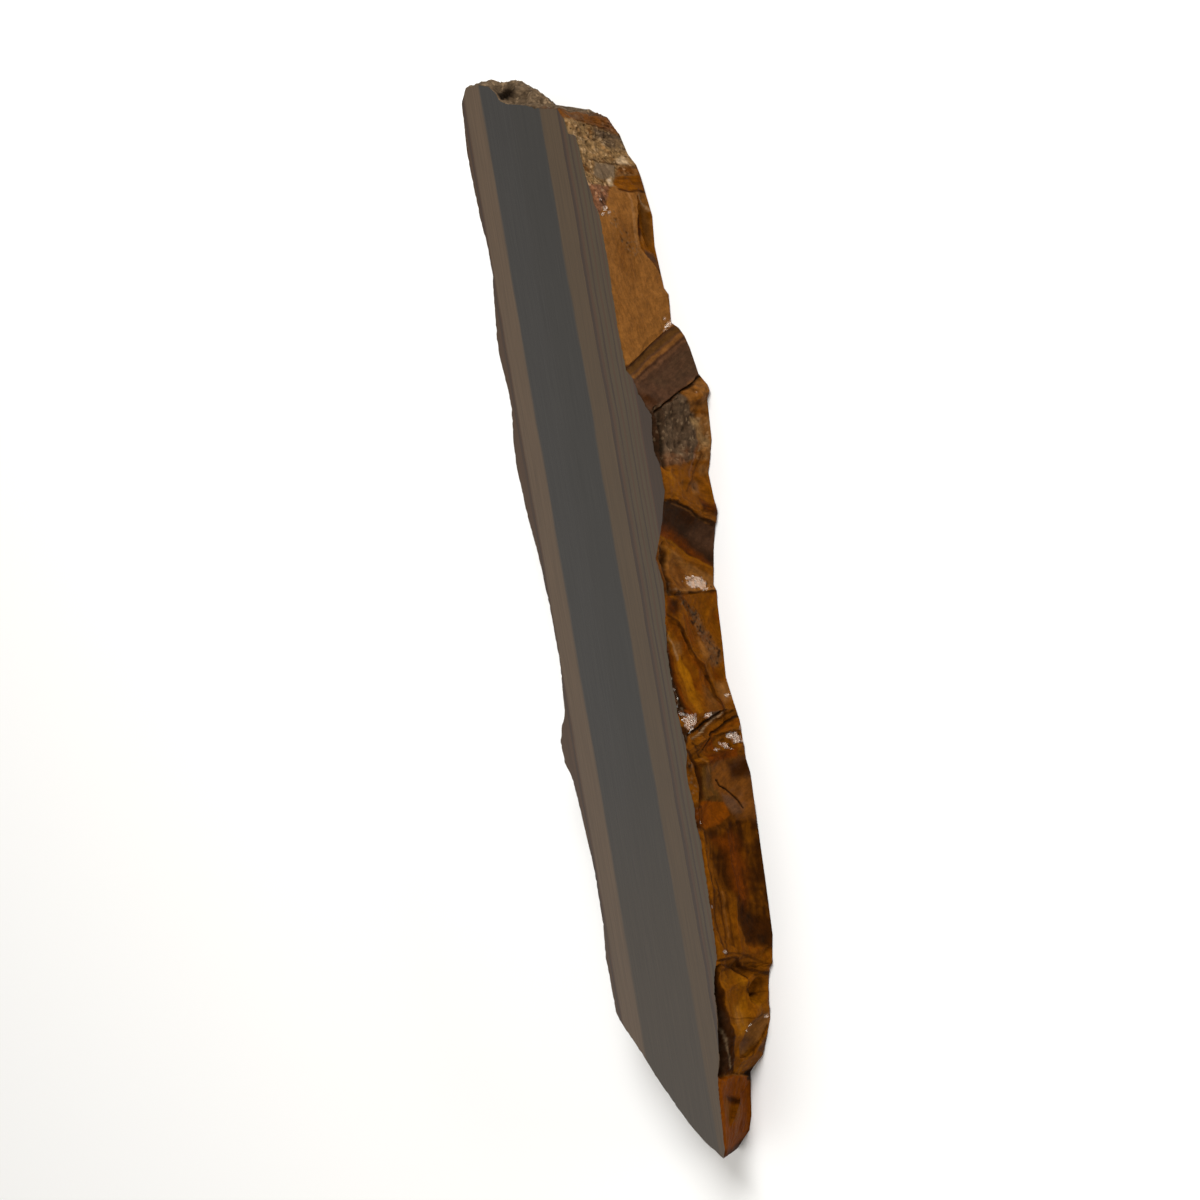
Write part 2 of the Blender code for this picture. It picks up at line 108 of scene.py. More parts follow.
NORTH_RIM_BACK = (
    (-149.0, 8.5), (-139.0, 12.5), (-127.0, 16.5), (-116.0, 19.0), (-106.0, 24.5),
    (-92.0, 25.5), (-78.0, 24.0), (-60.0, 25.0), (-44.0, 27.2), (-28.0, 27.6),
    (-12.0, 24.0), (6.0, 23.5), (24.0, 25.4), (42.0, 26.8), (60.0, 27.6),
    (78.0, 26.4), (96.0, 24.0), (112.0, 25.5), (130.0, 26.6), (141.0, 25.6),
    (147.5, 20.0),
)
END_RIM_FACE = (
    (137.6, -11.2), (139.6, -3.8), (141.4, 0.4), (142.9, 6.3), (144.6, 9.0),
    (146.7, 9.8), (149.0, 12.0), (150.4, 16.1), (150.5, 20.4),
)
END_RIM_BACK = (
    (134.8, -9.1), (138.9, -3.3), (141.5, 3.9), (142.8, 9.0), (144.2, 13.0),
    (146.3, 16.5), (147.5, 20.0),
)
# Where a ledge crosses the south wall aslant: its x at the polished face and at the back face.
SOUTH_PAIRS = (
    (-146.8, -149.0), (-124.2, -128.1), (-100.1, -104.3), (-93.3, -98.8), (-57.5, -60.5),
    (-50.6, -54.5), (-39.5, -41.5), (-34.6, -34.6), (-29.0, -29.0), (5.8, 3.5),
    (20.2, 8.8), (28.6, 21.4), (32.2, 23.4), (38.7, 37.3), (53.0, 61.6),
    (65.5, 76.6), (84.4, 86.0), (116.0, 114.0), (137.6, 134.8),
)

# Shell-shaped breaks: centre x, centre z, half length, half height, depth, turn in degrees.
SOUTH_SCALLOPS = (
    (124.0, 12.0, 10.0, 13.0, 1.3, 0.0),
    (104.5, 1.0, 8.5, 4.2, 2.6, 8.0),
    (92.0, 14.0, 17.0, 12.0, 0.5, 0.0),
    (65.5, 8.5, 8.0, 13.0, 1.2, 28.0),
    (46.0, 9.0, 8.5, 10.0, 0.9, 0.0),
    (33.0, 7.0, 7.0, 8.0, 1.2, -35.0),
    (18.5, 11.0, 5.6, 14.0, 1.8, -26.0),
    (9.5, 12.0, 5.5, 12.0, 1.2, -20.0),
    (-5.0, 7.0, 9.5, 8.0, 1.1, 30.0),
    (-16.0, 18.0, 13.0, 5.0, 1.3, 18.0),
    (-20.0, 3.0, 8.0, 5.5, 1.4, 10.0),
    (-31.8, 9.0, 2.9, 12.0, 1.3, 6.0),
    (-37.2, 10.0, 3.0, 12.0, 1.6, 8.0),
    (-47.0, 7.5, 8.0, 9.0, 0.8, 12.0),
    (-55.0, 14.8, 5.0, 7.0, 1.5, 10.0),
    (-68.0, 16.5, 12.0, 4.6, 1.2, 4.0),
    (-70.0, 6.0, 14.0, 6.0, 1.5, 6.0),
    (-84.0, 17.0, 9.0, 5.0, 1.2, 10.0),
    (-87.0, 7.0, 9.0, 6.5, 1.4, 14.0),
    (-97.5, 11.0, 3.2, 12.0, 1.2, 12.0),
    (-105.0, 5.0, 3.4, 4.0, 2.8, 20.0),
    (-107.0, 13.5, 5.5, 5.0, 1.0, 0.0),
    (-116.6, 6.2, 7.4, 4.2, 1.6, -50.0),
    (-121.0, 14.5, 5.0, 4.0, 1.2, 12.0),
    (-134.0, 13.0, 7.0, 6.5, 0.9, 8.0),
)
# Low swellings: centre x, centre z, half length, half height, height.
SOUTH_SWELLINGS = (
    (57.5, 4.0, 5.0, 6.0, 1.3),
    (35.5, 9.5, 3.0, 8.0, 0.7),
    (-26.5, 12.0, 3.0, 9.0, 0.8),
    (-111.0, 6.0, 2.2, 8.0, 0.6),
)
# Clefts along the wall: width at each end, depth, then the (x, z) points of their course.
ARRIS_CREVICE = (1.4, 1.4, 2.4, ((53.0, 20.6), (49.0, 19.6), (44.0, 19.3), (38.7, 20.2)))
PITTED_STREAK = (1.2, 1.5, 1.6, ((18.0, 21.2), (13.0, 18.6), (6.0, 20.4)))
BLACK_STREAK = (1.3, 1.9, 1.1, ((-7.0, 21.2), (-14.0, 20.4), (-21.0, 20.2), (-28.0, 20.4)))
CURVED_CRACK = (1.0, 1.0, 0.9, ((-37.5, 21.2), (-41.0, 19.2), (-47.6, 18.2), (-51.0, 19.8)))
ARRIS_SLOT = (0.8, 3.0, 3.6, ((-95.5, 21.8), (-104.3, 21.0), (-110.5, 20.3), (-118.4, 19.6),
                              (-122.8, 19.1)))
SOUTH_CLEFTS = (ARRIS_CREVICE, PITTED_STREAK, BLACK_STREAK, CURVED_CRACK, ARRIS_SLOT)
# Ledges: rise across them, then their course. The wall stands out on the left of the course.
TAN_LEDGE = (0.8, ((65.6, 24.0), (69.8, 14.2), (72.2, 9.2), (74.4, 4.7), (76.8, -1.0)))
UPPER_LEDGE = (1.0, ((52.0, 24.0), (54.9, 17.0), (56.1, 13.8), (59.1, 5.6), (61.9, -1.0)))
STEP_LEDGE = (1.0, ((29.8, 24.0), (28.5, 17.3), (26.7, 12.9), (23.9, 7.5), (20.6, -1.0)))
SCOOP_LEDGE = (1.5, ((90.6, -0.5), (93.7, 2.4), (97.8, 6.4), (101.1, 6.8), (105.0, 6.7),
                     (108.9, 5.9), (112.2, 4.2)))
WAVE_LEDGE = (0.8, ((-93.2, 24.0), (-94.3, 14.8), (-97.9, 10.0), (-100.5, 4.6), (-101.5, -1.0)))
NOTCH_STEP = (1.0, ((-106.1, 2.5), (-105.4, 7.6), (-103.5, 9.4), (-100.5, 9.4), (-98.5, 11.8),
                    (-96.6, 15.5), (-94.8, 22.0)))
SLOT_LEDGE = (0.9, ((-96.4, 21.6), (-102.6, 20.2), (-107.4, 19.5), (-113.5, 17.6), (-120.0, 15.3),
                    (-125.0, 13.6)))
OVAL_LEDGE = (0.9, ((-118.4, 2.6), (-120.4, 5.0), (-122.0, 8.4), (-121.8, 11.0), (-118.4, 12.4),
                    (-115.2, 11.0), (-112.6, 8.2), (-111.2, 2.0)))
NOTCH_LEDGE = (0.9, ((5.2, 24.0), (4.3, 9.0), (3.6, -1.0)))
WAVY_LEDGE = (0.9, ((-0.3, 24.0), (-3.6, 17.5), (-7.5, 14.2), (-12.7, 12.3), (-16.4, 9.6),
                    (-20.4, 5.3), (-24.8, 6.1), (-27.8, 5.5)))
FIRST_GLOSSY_LEDGE = (0.9, ((-28.4, 4.5), (-30.8, 8.6), (-32.5, 13.0), (-34.4, 17.9), (-35.0, 20.0)))
SECOND_GLOSSY_LEDGE = (0.8, ((-31.0, -1.0), (-32.6, 5.0), (-33.6, 8.4), (-35.8, 13.9), (-37.3, 17.5)))
TIP_LEDGE = (0.9, ((-129.0, -1.0), (-126.5, 11.0), (-125.2, 24.0)))
SOUTH_LEDGES = (TAN_LEDGE, UPPER_LEDGE, STEP_LEDGE, SCOOP_LEDGE, NOTCH_LEDGE, WAVY_LEDGE,
                FIRST_GLOSSY_LEDGE, SECOND_GLOSSY_LEDGE, WAVE_LEDGE, NOTCH_STEP, SLOT_LEDGE,
                OVAL_LEDGE, TIP_LEDGE)
# Hairline cracks: width, depth, course.
HAIR_CRACKS = (
    (0.28, 0.8, ((52.6, 21.6), (54.9, 17.0), (56.0, 13.8), (57.5, 10.0), (59.0, 5.6), (61.9, -0.5))),
    (0.22, 0.6, ((-46.4, 12.0), (-48.0, 11.3), (-49.2, 9.0), (-50.6, 7.7), (-52.3, 6.4), (-55.2, 4.6))),
    (0.22, 0.4, ((29.8, 22.4), (28.5, 17.3), (26.7, 12.9), (23.9, 7.5), (21.0, -0.5))),
    (0.28, 0.5, ((-28.7, 6.5), (-30.4, 11.0), (-31.8, 15.6), (-32.9, 21.2))),
    (0.28, 0.5, ((-30.8, 0.0), (-32.5, 6.0), (-33.9, 10.3), (-37.5, 15.6))),
    (0.35, 0.7, ((111.9, 4.4), (105.0, 7.0), (101.1, 7.0), (97.8, 6.5), (93.7, 2.6), (91.0, 0.4))),
)
# The broken end's breaks: centre y, centre z, half width, half height, depth.
END_SCALLOPS = (
    (10.8, 18.4, 3.4, 3.8, 3.4),
    (4.6, 18.8, 2.2, 2.8, 1.5),
    (-1.0, 17.2, 3.0, 3.4, 1.3),
    (2.0, 7.0, 7.0, 7.5, 1.8),
    (15.5, 9.0, 6.0, 6.0, 1.2),
    (-8.0, 11.0, 4.5, 9.0, 1.0),
)
END_SWELLS = ((12.0, 12.0, 11.0, 11.0, 2.2), (5.5, 12.5, 8.5, 10.0, 3.4))
NORTH_BREAKS = 30
NORTH_SEED = 41
RIM_FADE = 1.3
CREST = 0.5
LUMP_HEIGHT = 0.42
LUMP_SIZES = (9.0, 4.2)
CORNER_BLEND = 6.0

# Patches of the south wall, painted in this order: two colours, the run of the fibres in
# degrees, gloss, relief, crystals, softness of the edge in mm, then the outline as (x, z).
PATCHES = (
    ("sienna", "matrix", 78, 0.4, 0.4, 0.1, 1.6,
     ((142, -3), (142, 26), (135.2, 26), (134.0, 16.0), (133.0, 9.2), (131.3, 4.5), (128.5, -3))),
    ("sienna", "mauve", 78, 0.4, 0.6, 0.2, 2.2,
     ((142, -3), (140, 5), (136.5, 9.5), (132.6, 8), (131.3, 4.5), (128.5, -3))),
    ("ochre", "sienna", 60, 0.4, 1.0, 0.8, 0.9,
     ((135.2, 26), (134, 16), (133, 9.2), (131.3, 4.5), (128.5, -3), (118.4, -3), (118.2, 9.5),
      (115.7, 11.3), (114.5, 26))),
    ("matrix", "ochre", 70, 0.4, 0.9, 0.6, 1.6,
     ((132.5, 10), (131.3, 4.5), (128.6, -3), (124.5, -3), (126.2, 6), (129.5, 10.5))),
    ("ochre", "cream", 60, 0.5, 0.9, 0.7, 1.4, ((130.5, 17.5), (131, 23), (123.5, 23), (124.5, 18))),
    ("ochre", "gold", 0, 0.5, 0.9, 0.7, 1.4, ((129.2, 8), (128.0, 15), (123.6, 16), (124.0, 8))),
    ("cream", "ash", 20, 0.5, 0.8, 0.3, 0.9, ((124.0, 1.6), (123.2, 5.2), (121.8, 5.8), (121.4, 1.6))),
    ("ash", "matrix", 20, 0.3, 0.4, 0.15, 0.8,
     ((122.4, 16.2), (121.5, 7.7), (117.6, 9.9), (117.5, 16.0), (118.8, 18.3))),
    ("sienna", "ochre", 0, 0.4, 0.9, 0.6, 1.2,
     ((120.8, 0), (120.8, 6.8), (118.3, 9.2), (118.2, 0))),
    ("cream", "ochre", 0, 0.6, 0.8, 0.4, 0.6,
     ((118.0, 10.8), (117.2, 13.4), (115.2, 13.0), (115.0, 11.2))),
    ("gold", "umber", 82, 0.6, 0.3, 0.0, 0.5,
     ((118.0, 9.3), (118.2, -2), (113.5, -2), (113.5, 10.3), (115.7, 11.2))),
    # Painted sheen: a pinkish patch near the top of the tan facet.
    ("rose", "plum", 30, 0.5, 0.9, 0.6, 1.0,
     ((116.1, 24), (115.8, 13.0), (113.4, 15.5), (110.2, 18.6), (106.0, 24))),
    ("tan", "fawn", 12, 0.1, 0.16, 0.0, 0.5,
     ((115.4, 11.4), (114.4, 14.5), (110.4, 18.2), (105.8, 24), (65.9, 24),
      (69.8, 14.2), (72.2, 9.2), (74.4, 4.7), (76.8, -1), (113.5, -1), (113.5, 10))),
    ("fawn", "sienna", 12, 0.1, 0.3, 0.0, 4.0, ((104, 8.5), (107, 15), (94, 18), (88, 12))),
    ("gold", "tan", 10, 0.4, 0.2, 0.0, 0.4,
     ((112.1, 4.2), (108.9, 6.0), (105.0, 6.8), (101.1, 6.9), (97.8, 6.5), (93.7, 2.5),
      (90.5, 0.5), (89.5, -2), (107.8, -2), (107.8, 0.6), (110.2, 1.4))),
    # Painted shade: dark brown at the top of the scoop, under its overhang.
    ("umber", "russet", 60, 0.4, 0.2, 0.0, 1.2,
     ((111.8, 4.2), (107.4, 2.6), (101.0, 5.2), (99.0, 6.4), (105.0, 6.8), (108.9, 6.1))),
    ("plum", "sienna", 60, 0.3, 0.2, 0.0, 0.9, ((97.6, 4.4), (96.4, 0.8), (90.5, -1), (93.7, 2.6))),
    ("plum", "bister", -66, 0.3, 0.16, 0.0, 0.25,
     ((65.6, 24), (69.8, 14.2), (72.2, 9.2), (74.4, 4.7), (76.8, -1), (61.9, -1),
      (59.1, 5.6), (57.6, 10), (56.1, 13.8), (54.9, 17), (52.0, 24))),
    ("slate", "plum", -66, 0.35, 0.16, 0.0, 3.5,
     ((71.4, -2), (66.2, 8.1), (61.8, 16.5), (58.6, 13.5), (59.0, 8), (62.2, -2))),
    ("plum", "umber", -66, 0.3, 0.3, 0.0, 2.0, ((60, 24), (58.2, 20.5), (55.2, 19.0), (52.8, 24))),
    ("umber", "soot", 0, 0.3, 0.9, 0.1, 1.2, ((54.4, 20.4), (52.4, 19.6), (50, 20.6), (51, 24), (53, 24))),
    ("matrix", "bister", 10, 0.25, 1.0, 0.36, 1.2,
     ((55.6, 14.8), (57.6, 9.6), (54.4, 7.4), (51.4, 4.2), (43.5, 4.2), (38.2, 6.8), (37.6, 12),
      (38.2, 24), (52.4, 24), (54.8, 19.2))),
    ("bister", "soot", 70, 0.3, 1.0, 0.2, 1.0,
     ((53, 24), (53, 21.4), (49, 20.8), (44, 20.6), (38.7, 21.2), (38, 24))),
    ("mauve", "ash", 40, 0.3, 0.9, 0.3, 2.0, ((42.5, 8), (42, 20), (38.2, 22), (37.8, 11))),
    ("fawn", "ochre", 20, 0.4, 0.9, 0.3, 1.4, ((51.5, 4.4), (50, -2), (37, -2), (38.5, 6.0), (43.3, 4.6))),
    ("ochre", "matrix", 0, 0.5, 0.9, 0.4, 1.4, ((51, 6.2), (49.8, 3.2), (47.6, 3.6), (48.2, 5.8))),
    ("fawn", "gold", 20, 0.5, 0.8, 0.05, 1.0,
     ((59.8, 5.4), (62.2, -2), (51.2, -2), (52.2, 3), (52.0, 6.6), (54.6, 8.4), (57.4, 8.8))),
    ("gold", "sienna", 70, 0.4, 0.45, 0.0, 1.0,
     ((39.5, 6), (38.4, 12), (38.5, 24), (29.8, 24), (28.5, 17.3), (26.7, 12.9), (23.9, 7.5),
      (20.6, -2), (38.5, -2))),
    ("gold", "bright", 70, 0.4, 0.35, 0.0, 2.4,
     ((37.2, 21), (36.6, 13.2), (34.2, 10.2), (31.2, 12), (30.6, 19))),
    ("tan", "mauve", 30, 0.4, 0.6, 0.1, 1.6, ((33.6, 8.6), (33.4, 4.6), (30.2, 5.6), (30.2, 8.4))),
    ("tan", "sienna", 30, 0.4, 0.7, 0.1, 1.8, ((38, 4), (37, -2), (34.5, -2), (35.4, 4))),
    ("umber", "russet", 70, 0.4, 0.3, 0.0, 1.6, ((29.2, 6.6), (28.0, 4.4), (25.0, -2), (22.0, -2), (25.4, 6.4))),
    # The dark facet's brown-black is partly its own colour and partly painted shade.
    ("bister", "umber", 66, 0.35, 0.12, 0.0, 0.3,
     ((29.8, 24), (28.5, 17.3), (26.7, 12.9), (23.9, 7.5), (20.6, -2), (7.4, -2),
      (10.3, 4.9), (13.9, 9.6), (17.6, 15.6), (20.6, 21.6), (21.6, 24))),
    # Painted sheen: a paler patch across the middle of the dark facet.
    ("plum", "bister", 66, 0.35, 0.12, 0.0, 4.0,
     ((23.2, 7.5), (19.5, -2), (13.0, -2), (16.5, 6.0), (19.6, 10))),
    ("russet", "umber", 62, 0.4, 0.12, 0.0, 3.0,
     ((24.0, 24), (20.5, 15), (16, 8), (9.5, 0), (9.4, 2.4), (13.9, 9.4), (17.6, 15.4), (20.4, 24))),
    ("tan", "bright", 62, 0.5, 0.15, 0.0, 0.4,
     ((20.2, 24), (18.2, 16.4), (13.9, 9.9), (9.4, 1.5), (7.4, -2), (4.2, -2), (4.0, 5),
      (4.3, 9), (5.2, 18), (5, 24))),
    ("sienna", "tan", 62, 0.5, 0.2, 0.0, 1.6, ((15, 16), (10.5, 10), (6, 12), (5.5, 17.5), (11, 17.5))),
    ("sienna", "umber", 0, 0.3, 0.7, 0.1, 1.6, ((19, 24), (16.6, 19.0), (12.5, 17.6), (9.5, 17.4), (5, 17.8), (5, 24))),
    ("gold", "russet", 32, 0.4, 0.3, 0.0, 0.3,
     ((4.6, 24), (4, 5), (3.6, -2), (-30, -2), (-27.8, 5.5), (-24.8, 6.0), (-20.8, 5.6),
      (-17.4, 8.4), (-13.4, 11.8), (-8, 14.0), (-3.6, 17.5), (-0.3, 24))),
    ("umber", "russet", 34, 0.4, 0.3, 0.0, 2.4,
     ((3.0, 17.0), (0.6, 16.6), (-1.2, 18.4), (-0.6, 21), (4.0, 22))),
    ("tan", "gold", 34, 0.5, 0.3, 0.0, 2.0, ((-8, 8.4), (-13.5, 8.6), (-15.2, 5.6), (-10.5, 5.8))),
    ("tan", "gold", 20, 0.6, 0.3, 0.0, 2.0, ((-21.0, 3.9), (-20.9, -1), (-26, -1), (-26.6, 3.7))),
    ("gold", "russet", 24, 0.4, 0.2, 0.0, 0.3,
     ((-0.3, 24), (-3.6, 17.5), (-8, 14.0), (-13.4, 11.8), (-17.4, 8.4), (-20.8, 5.6),
      (-24.8, 6.0), (-28.2, 5.6), (-29.5, 14), (-28, 24))),
    ("bright", "gold", 14, 0.4, 0.15, 0.0, 0.7,
     ((-4.2, 22.4), (-4.8, 20.9), (-8.9, 17.9), (-13.8, 15.7), (-17.5, 13.8), (-21.7, 12.8),
      (-27.9, 12.8), (-27.9, 15.6), (-21.3, 16.0), (-17.1, 16.8), (-13.0, 17.9), (-8.7, 19.7),
      (-5.0, 22.4))),
    # Painted highlight: a pale patch in the yellow band.
    ("tan", "fawn", 24, 0.4, 0.2, 0.0, 1.8, ((-7.8, 19.0), (-8.2, 15.9), (-11.6, 16.2), (-11.4, 18.6))),
    ("sienna", "olive", 10, 0.4, 0.2, 0.0, 2.4, ((-20.5, 10.4), (-22.5, 6.8), (-27.9, 6.8), (-27.9, 11.6))),
    ("russet", "umber", 8, 0.4, 0.5, 0.0, 0.8,
     ((-4.6, 24), (-4.8, 22.3), (-8.5, 20.8), (-11.7, 19.2), (-15.4, 18.6), (-20, 18.0),
      (-24.8, 17.8), (-27.8, 17.0), (-27.8, 24))),
    ("umber", "bister", 6, 0.5, 0.9, 0.2, 0.6,
     ((-6, 24), (-6.2, 22.2), (-11.0, 20.4), (-15.4, 19.6), (-20, 19.0), (-26, 18.4), (-27.2, 24))),
    ("gold", "umber", 108, 0.8, 0.6, 0.0, 0.6,
     ((-27.2, 24), (-28.3, 14.5), (-28.2, 5.5), (-29.5, -2), (-41.2, -2), (-41, 6),
      (-41.5, 14.5), (-40, 20), (-37.5, 24))),
    ("matrix", "mauve", 108, 0.8, 0.4, 0.0, 0.8, ((-28.2, 11), (-28.4, 6.6), (-30.4, 8.6), (-30.2, 11.4))),
    ("gold", "russet", 112, 0.6, 0.5, 0.0, 1.0,
     ((-30.5, 6), (-31, -2), (-34.0, -2), (-33.8, 6.8), (-35.4, 12.6), (-33.8, 13.4), (-31.6, 9))),
    ("russet", "gold", 112, 0.6, 0.4, 0.0, 1.2, ((-35, 10.5), (-38.4, 10.5), (-39.4, 15), (-36.5, 17))),
    ("umber", "soot", 20, 0.5, 0.9, 0.1, 0.7, ((-30, 24), (-30.6, 21.8), (-32.2, 20.6), (-35, 22.2), (-36, 24))),
    ("russet", "umber", 90, 0.5, 0.4, 0.0, 1.0, ((-38.8, 3), (-39.4, 15), (-41.8, 15), (-41.4, 3))),
    ("sienna", "mauve", 112, 0.3, 0.16, 0.0, 1.2,
     ((-41.3, -2), (-41.4, 6), (-41.8, 14.4), (-44.5, 15.4), (-48.6, 14.2), (-51.8, 12.2),
      (-53.3, 10.2), (-56.6, 7.4), (-61, 6.5), (-60, -2))),
    ("umber", "plum", 100, 0.3, 0.2, 0.0, 3.0, ((-42.0, 7.2), (-47, 6.6), (-48, -2), (-42, -2))),
    ("olive", "plum", 10, 0.35, 0.3, 0.0, 1.2,
     ((-41.8, 17), (-42.2, 13.8), (-48.4, 13.8), (-50.6, 12.2), (-50.8, 18), (-47, 18.2))),
    ("olive", "sienna", 10, 0.35, 0.3, 0.0, 1.6, ((-48.6, 16.9), (-48.9, 12.6), (-52.0, 11.2), (-51.3, 19))),
    ("mauve", "plum", 112, 0.3, 0.2, 0.0, 1.2, ((-50.0, 11.0), (-52.2, 7.2), (-56.4, 5.2), (-56.6, 8.2), (-52.6, 10.6))),
    ("gold", "umber", 12, 0.4, 0.3, 0.05, 0.8,
     ((-38.5, 23.8), (-40.6, 20.6), (-44.6, 19.0), (-49.8, 20.0), (-51.0, 21.4), (-51.0, 24))),
    ("amber_stone", "russet", 30, 0.35, 0.2, 0.0, 0.5,
     ((-51.0, 20.8), (-52.4, 10.6), (-56.6, 9.0), (-58.3, 13.6), (-58.6, 19.0), (-57.4, 20.6))),
    ("umber", "russet", 0, 0.3, 0.5, 0.1, 0.8, ((-52, 24), (-52.4, 20.9), (-58, 20.9), (-62, 24))),
    ("umber", "gold", 0, 0.4, 0.35, 0.0, 2.8,
     ((-58.8, 19.0), (-58.6, 13.4), (-57.0, 8.4), (-60, -2), (-96, -2), (-92, 8.6), (-87, 10.6),
      (-80, 11.8), (-77, 15.6), (-70, 18.6), (-62, 20.2))),
    ("russet", "umber", 4, 0.4, 0.35, 0.0, 4.5, ((-62, 17.5), (-66, 12), (-76, 13), (-82, 7.5), (-70, 5), (-61, 9))),
    ("gold", "umber", 2, 0.4, 0.35, 0.0, 2.0,
     ((-58.5, 24), (-58.8, 21.0), (-64, 19.4), (-73, 17.2), (-77.4, 12.6), (-85, 12.0),
      (-91.3, 9.4), (-93.6, 15.1), (-94.4, 24))),
    # Painted shadow: a dark patch where a shadow fell across the lower wall.
    ("umber", "soot", 30, 0.5, 0.3, 0.0, 3.6,
     ((-80.5, 9.6), (-84, 4.3), (-88, -2), (-94.2, -2), (-91.6, 6.6), (-87.5, 9.6))),
    ("gold", "russet", 20, 0.4, 0.3, 0.0, 2.4,
     ((-82, 13.2), (-88.0, 11.4), (-91.6, 8.8), (-94.8, -1), (-98.4, -1), (-95.6, 7), (-92.2, 13.0))),
    ("gold", "umber", 70, 0.4, 0.4, 0.0, 1.2,
     ((-92.2, 24), (-92.8, 15.1), (-95.6, 7.0), (-98.4, -2), (-104, -2), (-102.4, 6), (-100.4, 10.0),
      (-97.0, 14.5), (-94.8, 24))),
    ("gold", "bright", 4, 0.35, 0.2, 0.0, 0.5,
     ((-96.8, 20.8), (-97.0, 14.8), (-100.0, 10.0), (-104.5, 9.8), (-106.3, 6), (-106, -2),
      (-124, -2), (-127.6, 4), (-126.4, 11), (-124.4, 13.0), (-120, 14.8), (-113.5, 17.2),
      (-107.4, 19.0), (-102.6, 19.6))),
    ("gold", "sienna", 70, 0.35, 0.3, 0.0, 0.9,
     ((-100.2, 9.0), (-101.6, -2), (-106.0, -2), (-105.6, 5.0), (-104.0, 9.0))),
    # Painted shade: dark in the corner of the notch under the small block.
    ("soot", "umber", 60, 0.3, 0.3, 0.0, 1.4, ((-103.8, 9.6), (-105.8, 8.4), (-106.4, 4.4), (-105.4, 4.4), (-104.6, 8.0))),
    # Painted highlights: two lighter patches in the bright gold near the tip.
    ("bright", "gold", 0, 0.35, 0.2, 0.0, 1.6, ((-98.6, 13.4), (-99.6, 11.0), (-102.2, 10.8), (-102.0, 13.0))),
    ("bright", "tan", 0, 0.35, 0.15, 0.0, 1.6, ((-106.6, 15.0), (-107.2, 11.2), (-115.2, 10.6), (-115.4, 14.6))),
    ("tan", "sienna", -50, 0.7, 0.25, 0.0, 0.6,
     ((-111.8, -0.5), (-111.2, 4.8), (-112.4, 8.0), (-115.2, 10.7), (-117.8, 12.2), (-120.8, 11.6),
      (-121.4, 8.6), (-119.2, 3.6), (-115.4, 0.6), (-113.5, -2))),
    ("mauve", "sienna", -50, 0.7, 0.2, 0.0, 2.6, ((-116, 8.5), (-118, 11), (-120.4, 10.6), (-120.2, 7.6), (-118, 5))),
    ("mauve", "umber", -50, 0.35, 0.4, 0.0, 0.9, ((-116.0, -2), (-118.6, 1.2), (-121.4, 4.0), (-123.0, 0.6), (-124, -2))),
    ("umber", "slate", 4, 0.5, 0.4, 0.0, 0.9,
     ((-95.6, 24), (-96.8, 21.2), (-102.6, 19.8), (-107.4, 18.8), (-113.5, 16.6), (-120, 14.2),
      (-125.0, 12.2), (-125.4, 24))),
    ("matrix", "slate", 4, 0.5, 0.4, 0.1, 1.2, ((-104, 24), (-106, 21.4), (-118, 20.4), (-124.5, 20.0), (-125, 24))),
    ("amber_stone", "russet", 6, 0.3, 0.2, 0.0, 0.3,
     ((-125.0, 24), (-125.7, 13.7), (-127.2, 8), (-128.4, 3.0), (-129, -2), (-152, -2), (-152, 24))),
    ("gold", "russet", 30, 0.3, 0.2, 0.0, 2.0, ((-131.4, 19.5), (-134.5, 20), (-139, 17), (-138, 9), (-133.5, 8.4), (-132, 14))),
    ("umber", "russet", 76, 0.3, 0.2, 0.0, 1.4, ((-131.0, 17.4), (-131.8, 13.6), (-133.2, 8.4), (-134.8, 8.6), (-133.0, 15.2))),
    ("soot", "umber", 60, 0.3, 0.3, 0.0, 0.9, ((-126.8, 4.6), (-129.6, 4.2), (-130.4, -2), (-126, -2))),
    ("umber", "russet", 40, 0.3, 0.3, 0.0, 2.4, ((-145, 24), (-146.8, 10), (-146, -2), (-152, -2), (-152, 24))),
)
